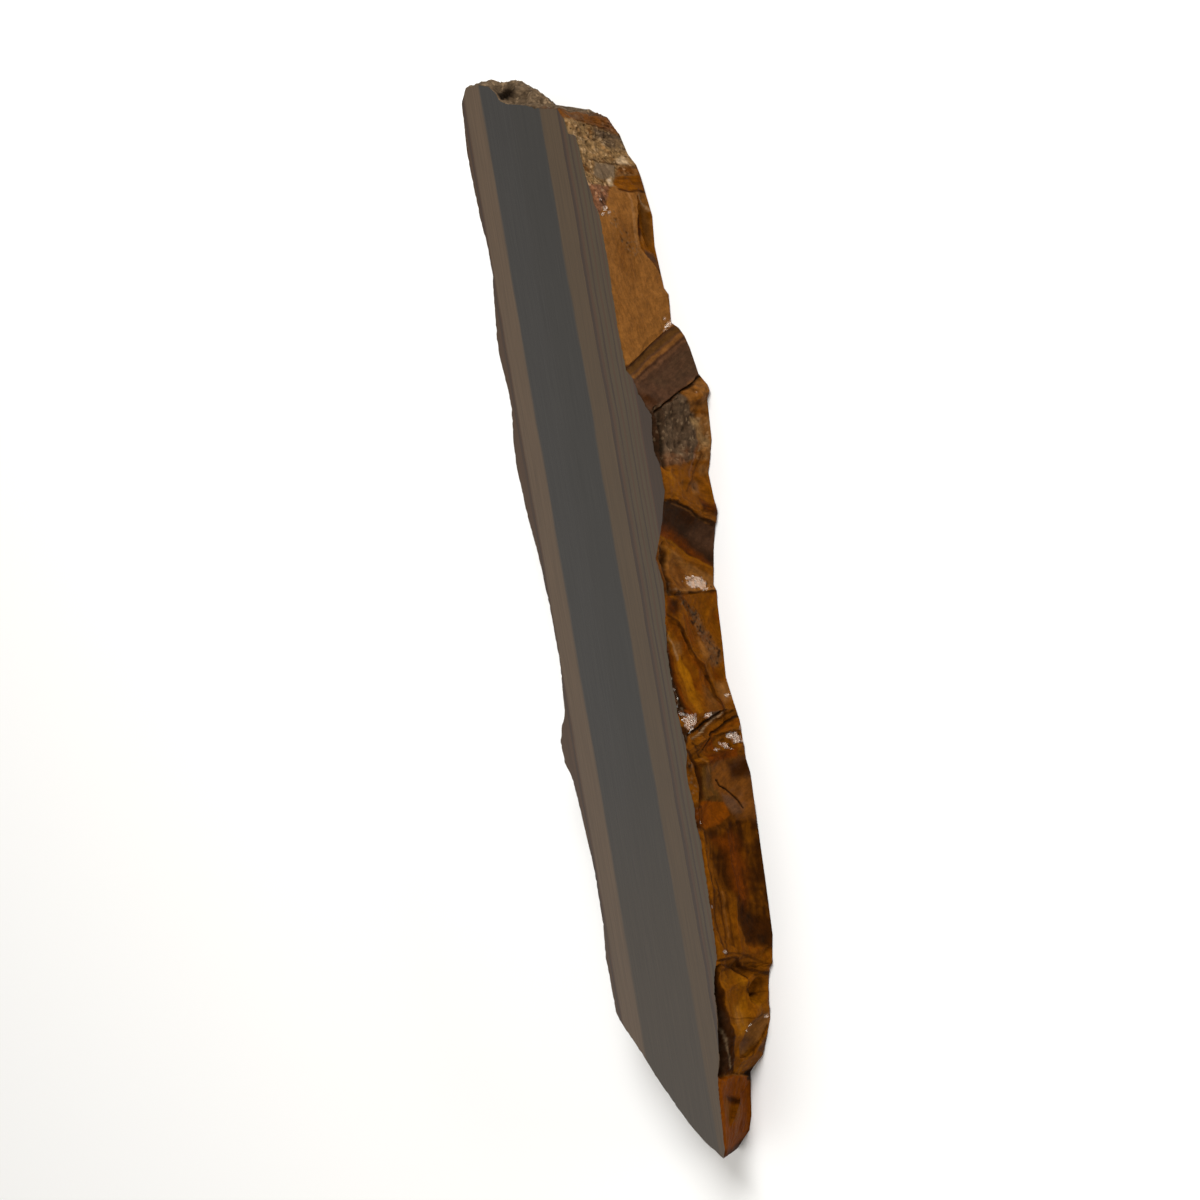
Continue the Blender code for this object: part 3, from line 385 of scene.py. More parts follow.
# Seams drawn over the patches: colour, width at each end in mm, strength, then their course.
SEAMS = (
    ("umber", 0.5, 0.6, 0.7, ((123.1, 17.6), (122.2, 11.7), (121.5, 5.7))),
    ("umber", 0.5, 0.4, 0.7, ((133.6, 13.0), (132.4, 7.0), (130.6, 3.0))),
    ("umber", 0.4, 0.5, 0.35, ((117.4, 9.2), (117.2, 5.0), (116.9, -0.5))),
    ("umber", 0.7, 0.6, 0.8, ((114.2, 10.8), (113.5, 7.0), (113.4, -0.5))),
    # Painted highlight: a pale line along the lit top of the scoop's ledge.
    ("cream", 0.8, 1.0, 0.08, ((113.0, 8.0), (109.4, 8.2), (104.0, 8.6), (99.0, 8.4))),
    # Painted shade: a dark line along the scoop's overhanging edge, over its crack.
    ("umber", 0.7, 0.8, 0.9, ((111.9, 4.4), (108.9, 6.2), (105.0, 7.0), (101.1, 7.0), (97.8, 6.5),
                              (93.7, 2.6), (91.0, 0.4))),
    # Painted highlight: a pale line along the scoop's lit rim.
    ("cream", 0.4, 0.4, 0.35, ((112.6, 3.6), (110.3, 0.9), (108.0, -0.2))),
    # Painted shadow: a thin dark line under the tan facet's ledge.
    ("umber", 0.35, 0.35, 0.6, ((65.6, 23.0), (69.8, 14.2), (72.2, 9.2), (76.5, -0.5))),
    ("olive", 1.5, 1.5, 0.75, ((64.6, 23.0), (68.8, 13.7), (71.2, 8.6), (75.4, -0.5))),
    ("fawn", 0.9, 1.2, 0.75, ((63.2, 22.4), (67.3, 13.0), (69.6, 8.0), (73.6, -0.5))),
    ("umber", 0.4, 0.4, 0.5, ((62.6, 21.8), (66.4, 12.6), (68.8, 7.6), (72.8, -0.5))),
    ("mauve", 0.9, 0.9, 0.6, ((61.8, 21.6), (65.6, 12.2), (68.0, 7.2), (71.8, -0.5))),
    ("umber", 0.8, 0.7, 0.9, ((52.6, 21.6), (54.9, 17.0), (56.0, 13.8), (57.5, 10.0), (59.0, 5.6),
                             (61.9, -0.5))),
    ("rose", 1.0, 0.7, 0.6, ((42.8, 4.6), (39.6, 6.8), (35.3, 9.6))),
    ("umber", 0.8, 0.6, 0.7, ((41.0, 3.4), (38.0, 5.2), (34.2, 8.2), (31.4, 11.4))),
    # Painted shadow: a dark line along the step and its crack.
    ("umber", 0.45, 0.3, 0.8, ((29.8, 22.4), (28.5, 17.3), (26.7, 12.9), (23.9, 7.5), (21.0, -0.5))),
    ("fawn", 0.4, 0.4, 0.5, ((28.4, 19.5), (27.3, 15.4), (25.4, 11.2), (21.6, 2.6))),
    ("gold", 2.0, 2.0, 0.9, ((19.7, 22.8), (17.6, 16.4), (13.5, 9.9), (9.2, 1.4), (8.2, -0.5))),
    ("bright", 0.6, 0.6, 0.4, ((20.4, 22.6), (18.2, 16.0), (14.2, 9.4), (9.9, 1.0))),
    ("umber", 0.9, 1.3, 0.5, ((17.9, 22.4), (15.2, 18.8), (11.5, 18.8), (8.0, 18.9), (5.6, 19.4))),
    ("umber", 0.5, 0.5, 0.6, ((4.6, 12.0), (4.0, 4.0), (3.6, -0.5))),
    ("umber", 1.6, 1.8, 0.6, ((5.2, 19.0), (3.0, 15.4), (0.4, 12.2), (-1.8, 9.6))),
    ("matrix", 1.2, 4.4, 0.42, ((-0.4, 11.2), (-3.4, 8.4), (-7.0, 6.1), (-10.5, 4.4), (-14.4, 3.2))),
    # Painted shadow: a dark line at the foot of the wavy ledge.
    ("umber", 0.7, 1.0, 0.85, ((-0.5, 21.7), (-2.3, 18.9), (-5.1, 15.8), (-10.0, 13.2),
                              (-13.9, 11.4), (-17.8, 7.6), (-21.2, 5.5), (-24.9, 5.8),
                              (-28.2, 5.5))),
    ("russet", 1.6, 2.4, 0.5, ((-4.4, 18.2), (-8.6, 15.6), (-13.4, 13.2), (-18.0, 9.4), (-21.0, 7.4))),
    # Painted highlight: a lighter line beside the wavy ledge's shadow.
    ("fawn", 0.5, 0.6, 0.5, ((-14.0, 9.6), (-17.4, 6.0), (-21.4, 4.2), (-25.6, 4.4))),
    # Painted highlight: a pale streak along the yellow band.
    ("cream", 0.3, 0.9, 0.22, ((-5.8, 21.0), (-9.0, 18.9), (-12.6, 17.6))),
    ("umber", 0.8, 0.9, 0.9, ((-28.7, 6.5), (-30.4, 11.0), (-31.8, 15.6), (-32.9, 21.2))),
    # Painted highlight: a pale line along the lit edge of the first glossy ledge.
    ("cream", 0.3, 0.3, 0.5, ((-28.9, 5.4), (-30.9, 9.6), (-32.9, 14.6), (-34.3, 19.2))),
    ("umber", 0.7, 0.6, 0.75, ((-30.8, 0.0), (-32.5, 6.0), (-33.9, 10.3), (-37.5, 15.6), (-38.6, 17.5))),
    ("umber", 0.5, 0.5, 0.7, ((-35.2, 20.6), (-37.4, 18.4), (-40.0, 16.8))),
    # Painted highlight: a pale streak by the curved crack.
    ("fawn", 0.6, 0.5, 0.6, ((-39.8, 17.0), (-41.8, 15.2), (-44.3, 14.4))),
    ("umber", 0.35, 0.35, 0.9, ((-46.4, 12.0), (-48.0, 11.3), (-49.2, 9.0), (-50.6, 7.7),
                             (-52.3, 6.4), (-55.2, 4.6))),
    ("umber", 1.0, 1.5, 0.95, ((-37.1, 22.6), (-38.9, 20.6), (-40.9, 19.2), (-44.5, 18.1),
                             (-47.6, 18.3), (-50.0, 19.4))),
    ("umber", 1.0, 1.0, 0.6, ((-51.6, 20.9), (-52.4, 20.0), (-58.2, 19.8), (-62.0, 20.6))),
    ("umber", 0.6, 0.9, 0.7, ((-64.0, 21.6), (-72.0, 20.6), (-82.0, 20.6), (-92.0, 20.2))),
    ("umber", 0.5, 0.8, 0.7, ((-72.0, 18.6), (-80.0, 17.4), (-88.0, 17.6), (-92.6, 19.0))),
    ("umber", 0.4, 0.6, 0.6, ((-76.0, 15.6), (-84.0, 14.6), (-91.0, 14.8))),
    ("fawn", 0.7, 0.9, 0.5, ((-76.0, 16.8), (-82.0, 16.0), (-88.0, 16.2))),
    ("umber", 0.7, 0.9, 0.85, ((-93.5, 21.8), (-94.1, 15.0), (-97.4, 10.2), (-100.1, 4.6), (-101.5, -0.5))),
    ("umber", 0.5, 0.7, 0.6, ((-92.2, 20.0), (-93.0, 14.4), (-95.4, 8.0), (-98.6, 1.0))),
    ("umber", 0.5, 0.8, 0.85, ((-94.8, 21.5), (-96.6, 15.6), (-98.5, 11.9), (-100.5, 9.5),
                              (-103.5, 9.5), (-105.4, 8.0), (-106.1, 3.5))),
    ("umber", 0.3, 0.3, 0.6, ((-109.5, 18.2), (-110.7, 13.2), (-111.7, 8.2))),
    ("umber", 0.4, 0.5, 0.85, ((-111.6, 3.0), (-112.8, 8.4), (-115.3, 11.3), (-118.4, 12.6),
                              (-121.8, 11.3), (-122.2, 8.4), (-120.6, 5.0), (-119.0, 3.3))),
    ("rose", 0.5, 0.4, 0.5, ((-112.6, 2.6), (-114.0, 6.4), (-117.0, 9.6))),
    ("umber", 0.4, 0.6, 0.8, ((-115.0, 0.4), (-118.0, 1.8), (-120.5, 4.6), (-122.5, 6.0))),
    ("cream", 0.36, 0.36, 0.32, ((-112.0, 19.0), (-114.1, 18.2), (-117.0, 17.2), (-120.1, 16.0),
                                (-124.1, 13.6))),
    ("umber", 0.5, 0.8, 0.8, ((-97.0, 20.8), (-102.6, 19.8), (-107.4, 19.0), (-112.5, 17.0),
                              (-120.2, 14.6), (-125.2, 12.4))),
    # Painted highlight: the lit top edge of the tip block.
    ("fawn", 0.4, 0.4, 0.8, ((-124.8, 21.8), (-125.8, 14.2), (-127.2, 8.4), (-128.4, 3.6))),
    ("gold", 0.4, 0.5, 0.5, ((-134.6, 20.2), (-134.9, 15.0), (-135.2, 10.4))),
    # Painted highlight: a pale streak on the tip block.
    ("tan", 0.6, 0.4, 0.45, ((-138.2, 12.3), (-141.0, 11.4), (-143.4, 9.4))),
)
# Mottled streaks: size of the mottles in mm, width at each end, dark share, then the course.
SPECKLES = (
    (0.9, 4.0, 5.0, 0.3, ((107.5, 17.5), (101.0, 14.0), (97.0, 9.0))),
    (0.7, 2.4, 5.2, 0.56, ((5.0, 18.6), (2.4, 14.8), (-0.6, 11.4), (-3.6, 8.2), (-7.2, 6.2),
                           (-10.5, 4.4), (-14.6, 3.0))),
    (0.8, 2.4, 3.2, 0.9, ((-6.0, 22.0), (-14.0, 21.2), (-21.0, 21.0), (-27.0, 20.6))),
    (0.8, 1.6, 2.4, 0.9, ((18.0, 21.6), (13.0, 19.4), (6.0, 20.6))),
    (0.9, 2.2, 2.2, 0.35, ((-41.0, 21.4), (-50.0, 21.6))),
)
# Small facets that lean up and catch the light: centre x and z, half sizes, turn in degrees.
GLINTS = (
    (76.6, 2.0, 0.6, 2.4, 30.0), (78.4, 3.2, 0.4, 0.4, 0.0), (6.6, 6.6, 1.6, 3.9, -14.0),
    (8.3, 9.6, 0.6, 0.9, 0.0), (4.9, 4.2, 0.6, 1.2, 0.0), (-29.3, 18.9, 2.1, 2.2, 0.0),
    (-27.2, 20.4, 0.5, 0.9, 0.0), (-31.9, 18.2, 0.6, 1.1, 20.0), (-28.9, 11.6, 0.8, 1.1, 0.0),
    (-36.2, 2.6, 1.3, 2.7, -22.0), (-37.9, 6.2, 0.7, 2.0, -25.0), (-38.5, 9.6, 0.4, 1.3, 0.0),
    (-33.9, 0.4, 0.6, 0.7, 0.0), (-24.6, 1.4, 0.5, 1.0, 0.0), (-24.9, 21.5, 0.7, 0.6, 0.0),
    (-11.8, 21.9, 0.35, 0.35, 0.0), (-15.0, 21.4, 0.35, 0.35, 0.0), (-17.4, 20.2, 0.3, 0.3, 0.0),
    (-20.5, 21.6, 0.45, 0.4, 0.0), (-22.9, 20.2, 0.35, 0.35, 0.0), (-114.9, 8.5, 0.55, 0.6, 0.0),
    (-113.8, 7.2, 0.4, 0.5, 0.0), (-112.6, 1.5, 0.6, 0.6, 0.0), (109.0, 19.4, 0.6, 0.8, 30.0),
    (107.6, 20.8, 0.35, 0.9, 30.0), (108.0, 18.0, 0.35, 0.6, 30.0), (111.5, 20.5, 0.3, 0.5, 0.0),
    (117.0, 12.2, 0.5, 0.6, 0.0), (-91.6, 20.2, 0.6, 0.5, 40.0), (-56.4, 20.6, 0.45, 0.35, 0.0),
    (-79.0, 22.0, 0.4, 0.3, 0.0), (45.2, 20.6, 0.9, 0.3, 0.0), (56.9, 5.4, 0.25, 0.3, 0.0),
)
# A glint's slopes: inward per mm up the wall, and per mm along it for each mm of x.
GLINT_SLOPES = (0.595, -0.00114)
GLINT_STEP = 2.4
# Axes turned askew, so that no noise lines up with the slab's own sides.
ASKEW = np.array(((0.7146, -0.3133, -0.6254), (0.6131, 0.7083, 0.3497), (0.3366, -0.6326, 0.6975)))


def smooth(value):
    """0 below 0, 1 above 1, and the cubic S curve 3v^2 - 2v^3 between."""
    clipped = np.clip(value, 0.0, 1.0)
    return clipped * clipped * (3.0 - 2.0 * clipped)


def rim(points, at, axis=0):
    """The other coordinate of a rim at these places along the given axis, point to point."""
    table = np.array(points)
    return np.interp(at, table[:, axis], table[:, 1 - axis])


def turned(along, height, middle, level, turn):
    """Offsets from a centre, along and across a line turned by these degrees."""
    angle = np.radians(turn)
    dx, dz = along - middle, height - level
    return dx * np.cos(angle) + dz * np.sin(angle), dz * np.cos(angle) - dx * np.sin(angle)


def scallops(table, along, height, crest=CREST):
    """The lowest of a set of bowls, depth x (r^2 - 1), and crest outside them all."""
    lowest = np.full(along.shape, crest)
    for row in table:
        middle, level, half_long, half_high, depth = row[:5]
        turn = row[5] if len(row) > 5 else 0.0
        across, upward = turned(along, height, middle, level, turn)
        radius = (across / half_long) ** 2 + (upward / half_high) ** 2
        lowest = np.minimum(lowest, depth * (radius - 1.0))
    return lowest


def swellings(table, along, height):
    """The sum of smooth mounds, each falling to nothing at its ellipse."""
    total = np.zeros(along.shape)
    for middle, level, half_long, half_high, rise in table:
        radius = ((along - middle) / half_long) ** 2 + ((height - level) / half_high) ** 2
        total += rise * smooth(1.0 - radius)
    return total


def course(points, along, height):
    """Distance to a polyline, the share of it run so far, and the side: 1 on its left."""
    nearest = np.full(along.shape, np.inf)
    share = np.zeros(along.shape)
    side = np.ones(along.shape)
    steps = len(points) - 1
    for index in range(steps):
        (x0, z0), (x1, z1) = points[index], points[index + 1]
        dx, dz = x1 - x0, z1 - z0
        run = np.clip(((along - x0) * dx + (height - z0) * dz) / (dx * dx + dz * dz), 0.0, 1.0)
        gap_x, gap_z = along - x0 - run * dx, height - z0 - run * dz
        gap = np.hypot(gap_x, gap_z)
        closer = gap < nearest
        nearest = np.where(closer, gap, nearest)
        share = np.where(closer, (index + run) / steps, share)
        side = np.where(closer, np.sign(dx * gap_z - dz * gap_x), side)
    return nearest, share, side


def cleft_depths(along, height):
    """Each cleft as a rounded trench whose width and depth grow along its course."""
    total = np.zeros(along.shape)
    for width_start, width_end, depth, points in SOUTH_CLEFTS:
        gap, share, _ = course(points, along, height)
        width = width_start + (width_end - width_start) * share
        total += depth * (0.45 + 0.55 * share) * smooth(1.35 - gap / width)
    return total


def crack_depths(along, height, waver):
    """Each hairline as a narrow V along its wavering course."""
    total = np.zeros(along.shape)
    for width, depth, points in HAIR_CRACKS:
        gap, _, _ = course(points, along + waver, height)
        total = np.maximum(total, depth * np.clip(1.3 - gap / width, 0.0, 1.0))
    return total


def ledge_heights(along, height):
    """Half the rise on each side of a ledge, with its sign, dying away with distance."""
    total = np.zeros(along.shape)
    for rise, points in SOUTH_LEDGES:
        gap, share, side = course(points, along, height)
        ends = smooth(share * 8.0) * smooth((1.0 - share) * 8.0)
        total += rise * side * np.exp(-gap / 5.0) * smooth(gap / 0.4) * ends * 0.5
    return total


def within(outline, along, height):
    """Distance to an outline in mm: positive inside it, negative outside."""
    closed = (*outline, outline[0])
    gap, _, _ = course(closed, along, height)
    inside = np.zeros(along.shape, dtype=bool)
    for (x0, z0), (x1, z1) in zip(outline, closed[1:]):
        spans = (z0 > height) != (z1 > height)
        crossing = x0 + (x1 - x0) * (height - z0) / (z1 - z0 + 1e-9)
        inside ^= spans & (along < crossing)
    return np.where(inside, gap, -gap)


def glint_masks(along, height, ragged):
    """The mask of all the leaning facets, then a list of each one's share, middle and level."""
    mask = np.zeros(along.shape)
    facets = []
    for middle, level, half_long, half_high, turn in GLINTS:
        across, upward = turned(along, height, middle, level, turn)
        radius = np.hypot(across / half_long, upward / half_high) + ragged
        share = smooth((1.4 - radius) / 0.5)
        mask = np.maximum(mask, share)
        facets.append((share, middle, level))
    return mask, facets


def lean_facets(facets, along, height, depth, out, uneven):
    """Cuts each facet's plane across the wall, through the wall's own depth at its middle.

    A tall facet is a flight of small parallel planes, so that it never stands far out.
    """
    for share, middle, level in facets:
        nearest = np.argmin(np.hypot(along - middle, height - level))
        start = (out - depth).ravel()[nearest]
        rise = height - level
        rise = rise - GLINT_STEP * np.round((rise + 0.6 * uneven) / GLINT_STEP) + 0.2 * uneven
        inward = GLINT_SLOPES[0] * rise + GLINT_SLOPES[1] * middle * (along - middle)
        out = out + share * (start - inward + depth - out)
    return out


def lumps(places, size, seed):
    """Smooth irregular lumps: seven sine waves in seeded directions, about -1 to 1."""
    chance = np.random.default_rng(seed)
    total = np.zeros(places.shape[:-1])
    for _ in range(7):
        direction = chance.normal(size=3)
        direction /= np.linalg.norm(direction)
        wave = 2.0 * np.pi / (size * chance.uniform(0.7, 1.5))
        total += np.sin(places @ direction * wave + chance.uniform(0.0, 2.0 * np.pi))
    return total / 3.0


def scatter(cells, seed, salt=0):
    """A fixed pseudo-random number from 0 to 1 for each whole-numbered cell."""
    mixed = cells.astype(np.int64) * np.array([73856093, 19349663, 83492791])
    mixed = (mixed[..., 0] ^ mixed[..., 1] ^ mixed[..., 2]) + seed * 7919 + salt * 104729
    mixed = (mixed ^ (mixed >> 13)) * 1274126177 & 0x7FFFFFFF
    mixed = (mixed ^ (mixed >> 16)) * 668265263 & 0x7FFFFFFF
    return ((mixed ^ (mixed >> 15)) & 0xFFFFFF) / float(0xFFFFFF)


def grain(places, size, seed):
    """Lattice noise, -1 to 1, on axes turned askew: random corners blended by the S curve."""
    scaled = places @ ASKEW / size
    base = np.floor(scaled)
    part = smooth(scaled - base)
    total = np.zeros(places.shape[:-1])
    for corner in np.ndindex(2, 2, 2):
        step = np.array(corner)
        weight = np.prod(np.where(step, part, 1.0 - part), axis=-1)
        total += weight * scatter(base + step, seed)
    return total * 2.0 - 1.0


def crumbs(places, size, seed):
    """Nearest-point cells: distance to the point, distance to the cell wall, and its chance."""
    scaled = places / size
    base = np.floor(scaled)
    near = np.full(places.shape[:-1], 9.0)
    second = near.copy()
    chance = np.zeros(places.shape[:-1])
    for corner in np.ndindex(3, 3, 3):
        cell = base + np.array(corner) - 1.0
        jitter = np.stack([scatter(cell, seed, salt) for salt in (1, 2, 3)], axis=-1)
        gap = np.linalg.norm(cell + jitter - scaled, axis=-1)
        closer = gap < near
        second = np.where(closer, near, np.minimum(second, gap))
        near = np.where(closer, gap, near)
        chance = np.where(closer, scatter(cell, seed, 4), chance)
    return near, second - near, chance


def strewn_breaks(count, first, last, sizes, depths, seed, slant=25.0):
    """Seeded rows for scallops, strewn along a wall from first to last."""
    chance = np.random.default_rng(seed)
    middles = np.linspace(first, last, count) + chance.uniform(-4.0, 4.0, count)
    return [
        (
            middle,
            chance.uniform(3.0, 19.0),
            chance.uniform(*sizes[0]),
            chance.uniform(*sizes[1]),
            chance.uniform(*depths),
            chance.uniform(-slant, slant),
        )
        for middle in middles
    ]


def terraces(value, tread, sharpness):
    """Turns a slope into steps one tread apart, joined by risers that fill 1/sharpness."""
    steps = value / tread
    low = np.floor(steps)
    return tread * (low + smooth((steps - low - 0.5) * sharpness + 0.5))


def outward(places):
    """Unit outward directions: -Y, +X and +Y by side, turning smoothly round the corners."""
    x, y = places[..., 0], places[..., 1]
    to_end = smooth((x - 133.0) / CORNER_BLEND) * smooth((24.0 - y) / 8.0 + 0.2)
    middle = 4.0 - 10.0 * smooth((-110.0 - x) / 37.0)
    north_south = np.clip((y - middle) / 10.0, -1.0, 1.0)
    away = np.stack([to_end * 1.6, north_south * (1.0 - 0.6 * to_end)], axis=-1)
    return away / np.maximum(np.linalg.norm(away, axis=-1, keepdims=True), 1e-6)


def stations(south, end, north):
    """Both rims' points for every station round the slab, as arrays of (x, y)."""
    face_x = np.linspace(-146.8, 137.6, south, endpoint=False)
    table = np.array(SOUTH_PAIRS)
    back_x = np.interp(face_x, table[:, 0], table[:, 1])
    faces = [np.column_stack([face_x, rim(SOUTH_RIM_FACE, face_x)])]
    backs = [np.column_stack([back_x, rim(SOUTH_RIM_BACK, back_x)])]
    share = np.linspace(0.0, 1.0, end, endpoint=False)
    face_y, back_y = -11.2 + 31.6 * share, -9.1 + 29.1 * share
    faces.append(np.column_stack([rim(END_RIM_FACE, face_y, axis=1), face_y]))
    backs.append(np.column_stack([rim(END_RIM_BACK, back_y, axis=1), back_y]))
    share = np.linspace(0.0, 1.0, north, endpoint=False)
    face_x, back_x = 150.5 - 297.3 * share, 147.5 - 296.5 * share
    faces.append(np.column_stack([face_x, rim(NORTH_RIM_FACE, face_x)]))
    backs.append(np.column_stack([back_x, rim(NORTH_RIM_BACK, back_x)]))
    return np.concatenate(faces), np.concatenate(backs)


def main_forms(places, side, uneven):
    """The large breaks, clefts, ledges and lumps of all three walls, in mm outward."""
    x, y, z = places[..., 0], places[..., 1], places[..., 2]
    south, end, north = side == 0, side == 1, side == 2
    out = np.zeros(x.shape)
    out[south] = (
        scallops(SOUTH_SCALLOPS, x[south], z[south])
        + swellings(SOUTH_SWELLINGS, x[south], z[south])
        - cleft_depths(x[south], z[south])
        + ledge_heights(x[south], z[south])
    )
    out[end] = scallops(END_SCALLOPS, y[end], z[end]) + swellings(END_SWELLS, y[end], z[end])
    north_table = strewn_breaks(
        NORTH_BREAKS, -136.0, 142.0, ((5.0, 12.0), (4.5, 11.0)), (0.8, 2.2), NORTH_SEED
    )
    out[north] = scallops(north_table, x[north], z[north])
    for index, size in enumerate(LUMP_SIZES):
        out += LUMP_HEIGHT * (0.3 + 0.7 * uneven) * lumps(places, size, 7 + index) / (index + 1.0)
    return out


def strands(along, across, depth):
    """Fibres: lattice noise stretched eight to one along their run, in two sizes."""
    broad = grain(np.stack([along / 8.0, across / 1.2, depth / 4.0], -1), 1.0, 71)
    narrow = grain(np.stack([along / 3.5, across / 0.55, depth / 2.0], -1), 1.0, 72)
    return 0.65 * broad + 0.35 * narrow


def lay(paint, weight, **values):
    """Mixes new values into the paint by a weight from 0 to 1."""
    for label, value in values.items():
        share = weight[..., None] if paint[label].ndim > weight.ndim else weight
        paint[label] = paint[label] + share * (value - paint[label])


def fibre_tint(along, height, depth, run, first, second):
    """A patch's two colours mixed by its fibres, and the place measured along their run."""
    u, v = turned(along, height, 0.0, 0.0, run)
    place = np.stack([along, height, depth], -1)
    v = v + 1.4 * grain(place, 7.0, 73)
    mottle = grain(place, 3.2, 74) + 0.5 * grain(place, 1.1, 75)
    share = smooth((0.7 * strands(u, v, depth) + 0.5 * mottle + 0.3) / 1.2)[..., None]
    return first + 0.8 * share * (second - first), np.stack([u, v, depth], -1)


def painted_wall(places, side, palette):
    """The paint on each place: tint, gloss, relief, crystals, and the run of its fibres.

    The far wall and the end get one finish each with noise, and the near wall gets its patches
    and seams, whose outlines waver a little.
    """
    x, y, z = places[..., 0], places[..., 1], places[..., 2]
    blotch = grain(places, 6.0, 11)
    rusty = smooth(0.5 + 1.2 * grain(places * (0.25, 1.0, 1.0), 5.0, 12))[..., None]
    tint, run = fibre_tint(x, z, 0.6 * y, 4.0, palette["gold"], palette["umber"])
    layers = grain(places * (0.08, 0.3, 1.0), 2.6, 13) + 0.5 * grain(places * (0.15, 0.4, 1.0), 1.1, 14)
    tint = tint + 0.6 * smooth(0.5 + 1.1 * layers)[..., None] * (palette["umber"] - tint)
    facet = smooth(0.4 + 4.0 * grain(places * (1.0, 0.3, 0.6), 15.0, 15))[..., None]
    tint = tint + 0.5 * facet * (palette["tan"] - tint)
    tint = tint + 0.4 * rusty * (palette["sienna"] - tint)
    paint = {
        "tint": tint,
        "run": run,
        "gloss": np.full(x.shape, 0.35),
        "uneven": np.full(x.shape, 0.6),
        "crumb": np.clip(0.8 * blotch - 0.3, 0.0, 0.5),
    }
    crust = fibre_tint(y, z, x, 90.0, palette["ash"], palette["matrix"])[0]
    lay(paint, (side == 1) * 1.0, tint=crust, gloss=0.25, uneven=1.0, crumb=0.6)
    # Painted shade: soot in the deep break under the end's top rim.
    hollow_shade = smooth(1.3 - ((y - 9.6) / 3.2) ** 2 - ((z - 18.8) / 3.0) ** 2 + 0.4 * blotch)
    lay(paint, (side == 1) * hollow_shade, tint=palette["soot"], crumb=0.0)
    cap = 0.5 * (palette["matrix"] + palette["mauve"])
    lay(paint, (side == 1) * smooth((-3.0 - y + blotch) / 4.0), tint=cap, crumb=0.1)

    south = int((side[0] == 0).sum())
    near = {label: value[:, :south] for label, value in paint.items()}
    x, y, z = x[:, :south], y[:, :south], z[:, :south]
    inner = places[:, :south]
    x = x + 0.28 * grain(inner, 3.4, 61) + 0.13 * grain(inner, 1.1, 62)
    z = z + 0.28 * grain(inner, 3.1, 63) + 0.13 * grain(inner, 1.0, 64)
    for index, row in enumerate(PATCHES):
        first, second, turn, gloss, uneven, crumb, soft, outline = row
        weight = smooth(0.5 + within(outline, x, z) / soft)
        tint, run = fibre_tint(x, z, y + 9.0 * index, turn, palette[first], palette[second])
        lay(near, weight, tint=tint, gloss=gloss, uneven=uneven, crumb=crumb)
        near["run"] = np.where(weight[..., None] > 0.5, run, near["run"])
    for shade, start, end, strength, points in SEAMS:
        gap, share, _ = course(points, x, z)
        width = start + (end - start) * share
        weight = strength * smooth((0.75 * width - gap) / (0.5 * width))
        lay(near, weight, tint=palette[shade])
    for size, start, end, dark_share, points in SPECKLES:
        gap, share, _ = course(points, x, z)
        width = start + (end - start) * share
        band = smooth((0.6 * width - gap) / (0.3 * width) + 0.6 * grain(inner, 1.6, 65))
        dark = band * smooth((grain(inner, size, 66) + dark_share - 0.7) / 0.45)
        lay(near, 0.85 * dark, tint=palette["soot"])
        pale = band * smooth((grain(inner, 0.5 * size, 67) - 0.30) / 0.25)
        lay(near, 0.45 * pale, tint=palette["ash"])
    for label, value in near.items():
        paint[label][:, :south] = value
    return paint


def blurred(values, reach):
    """The mean over a square of grid neighbours, closed round and clamped at the rims."""
    padded = np.pad(values, ((reach, reach), (0, 0)), mode="edge")
    rows = sum(padded[step : step + len(values)] for step in range(2 * reach + 1))
    total = sum(np.roll(rows, step, axis=1) for step in range(-reach, reach + 1))
    return total / (2 * reach + 1) ** 2


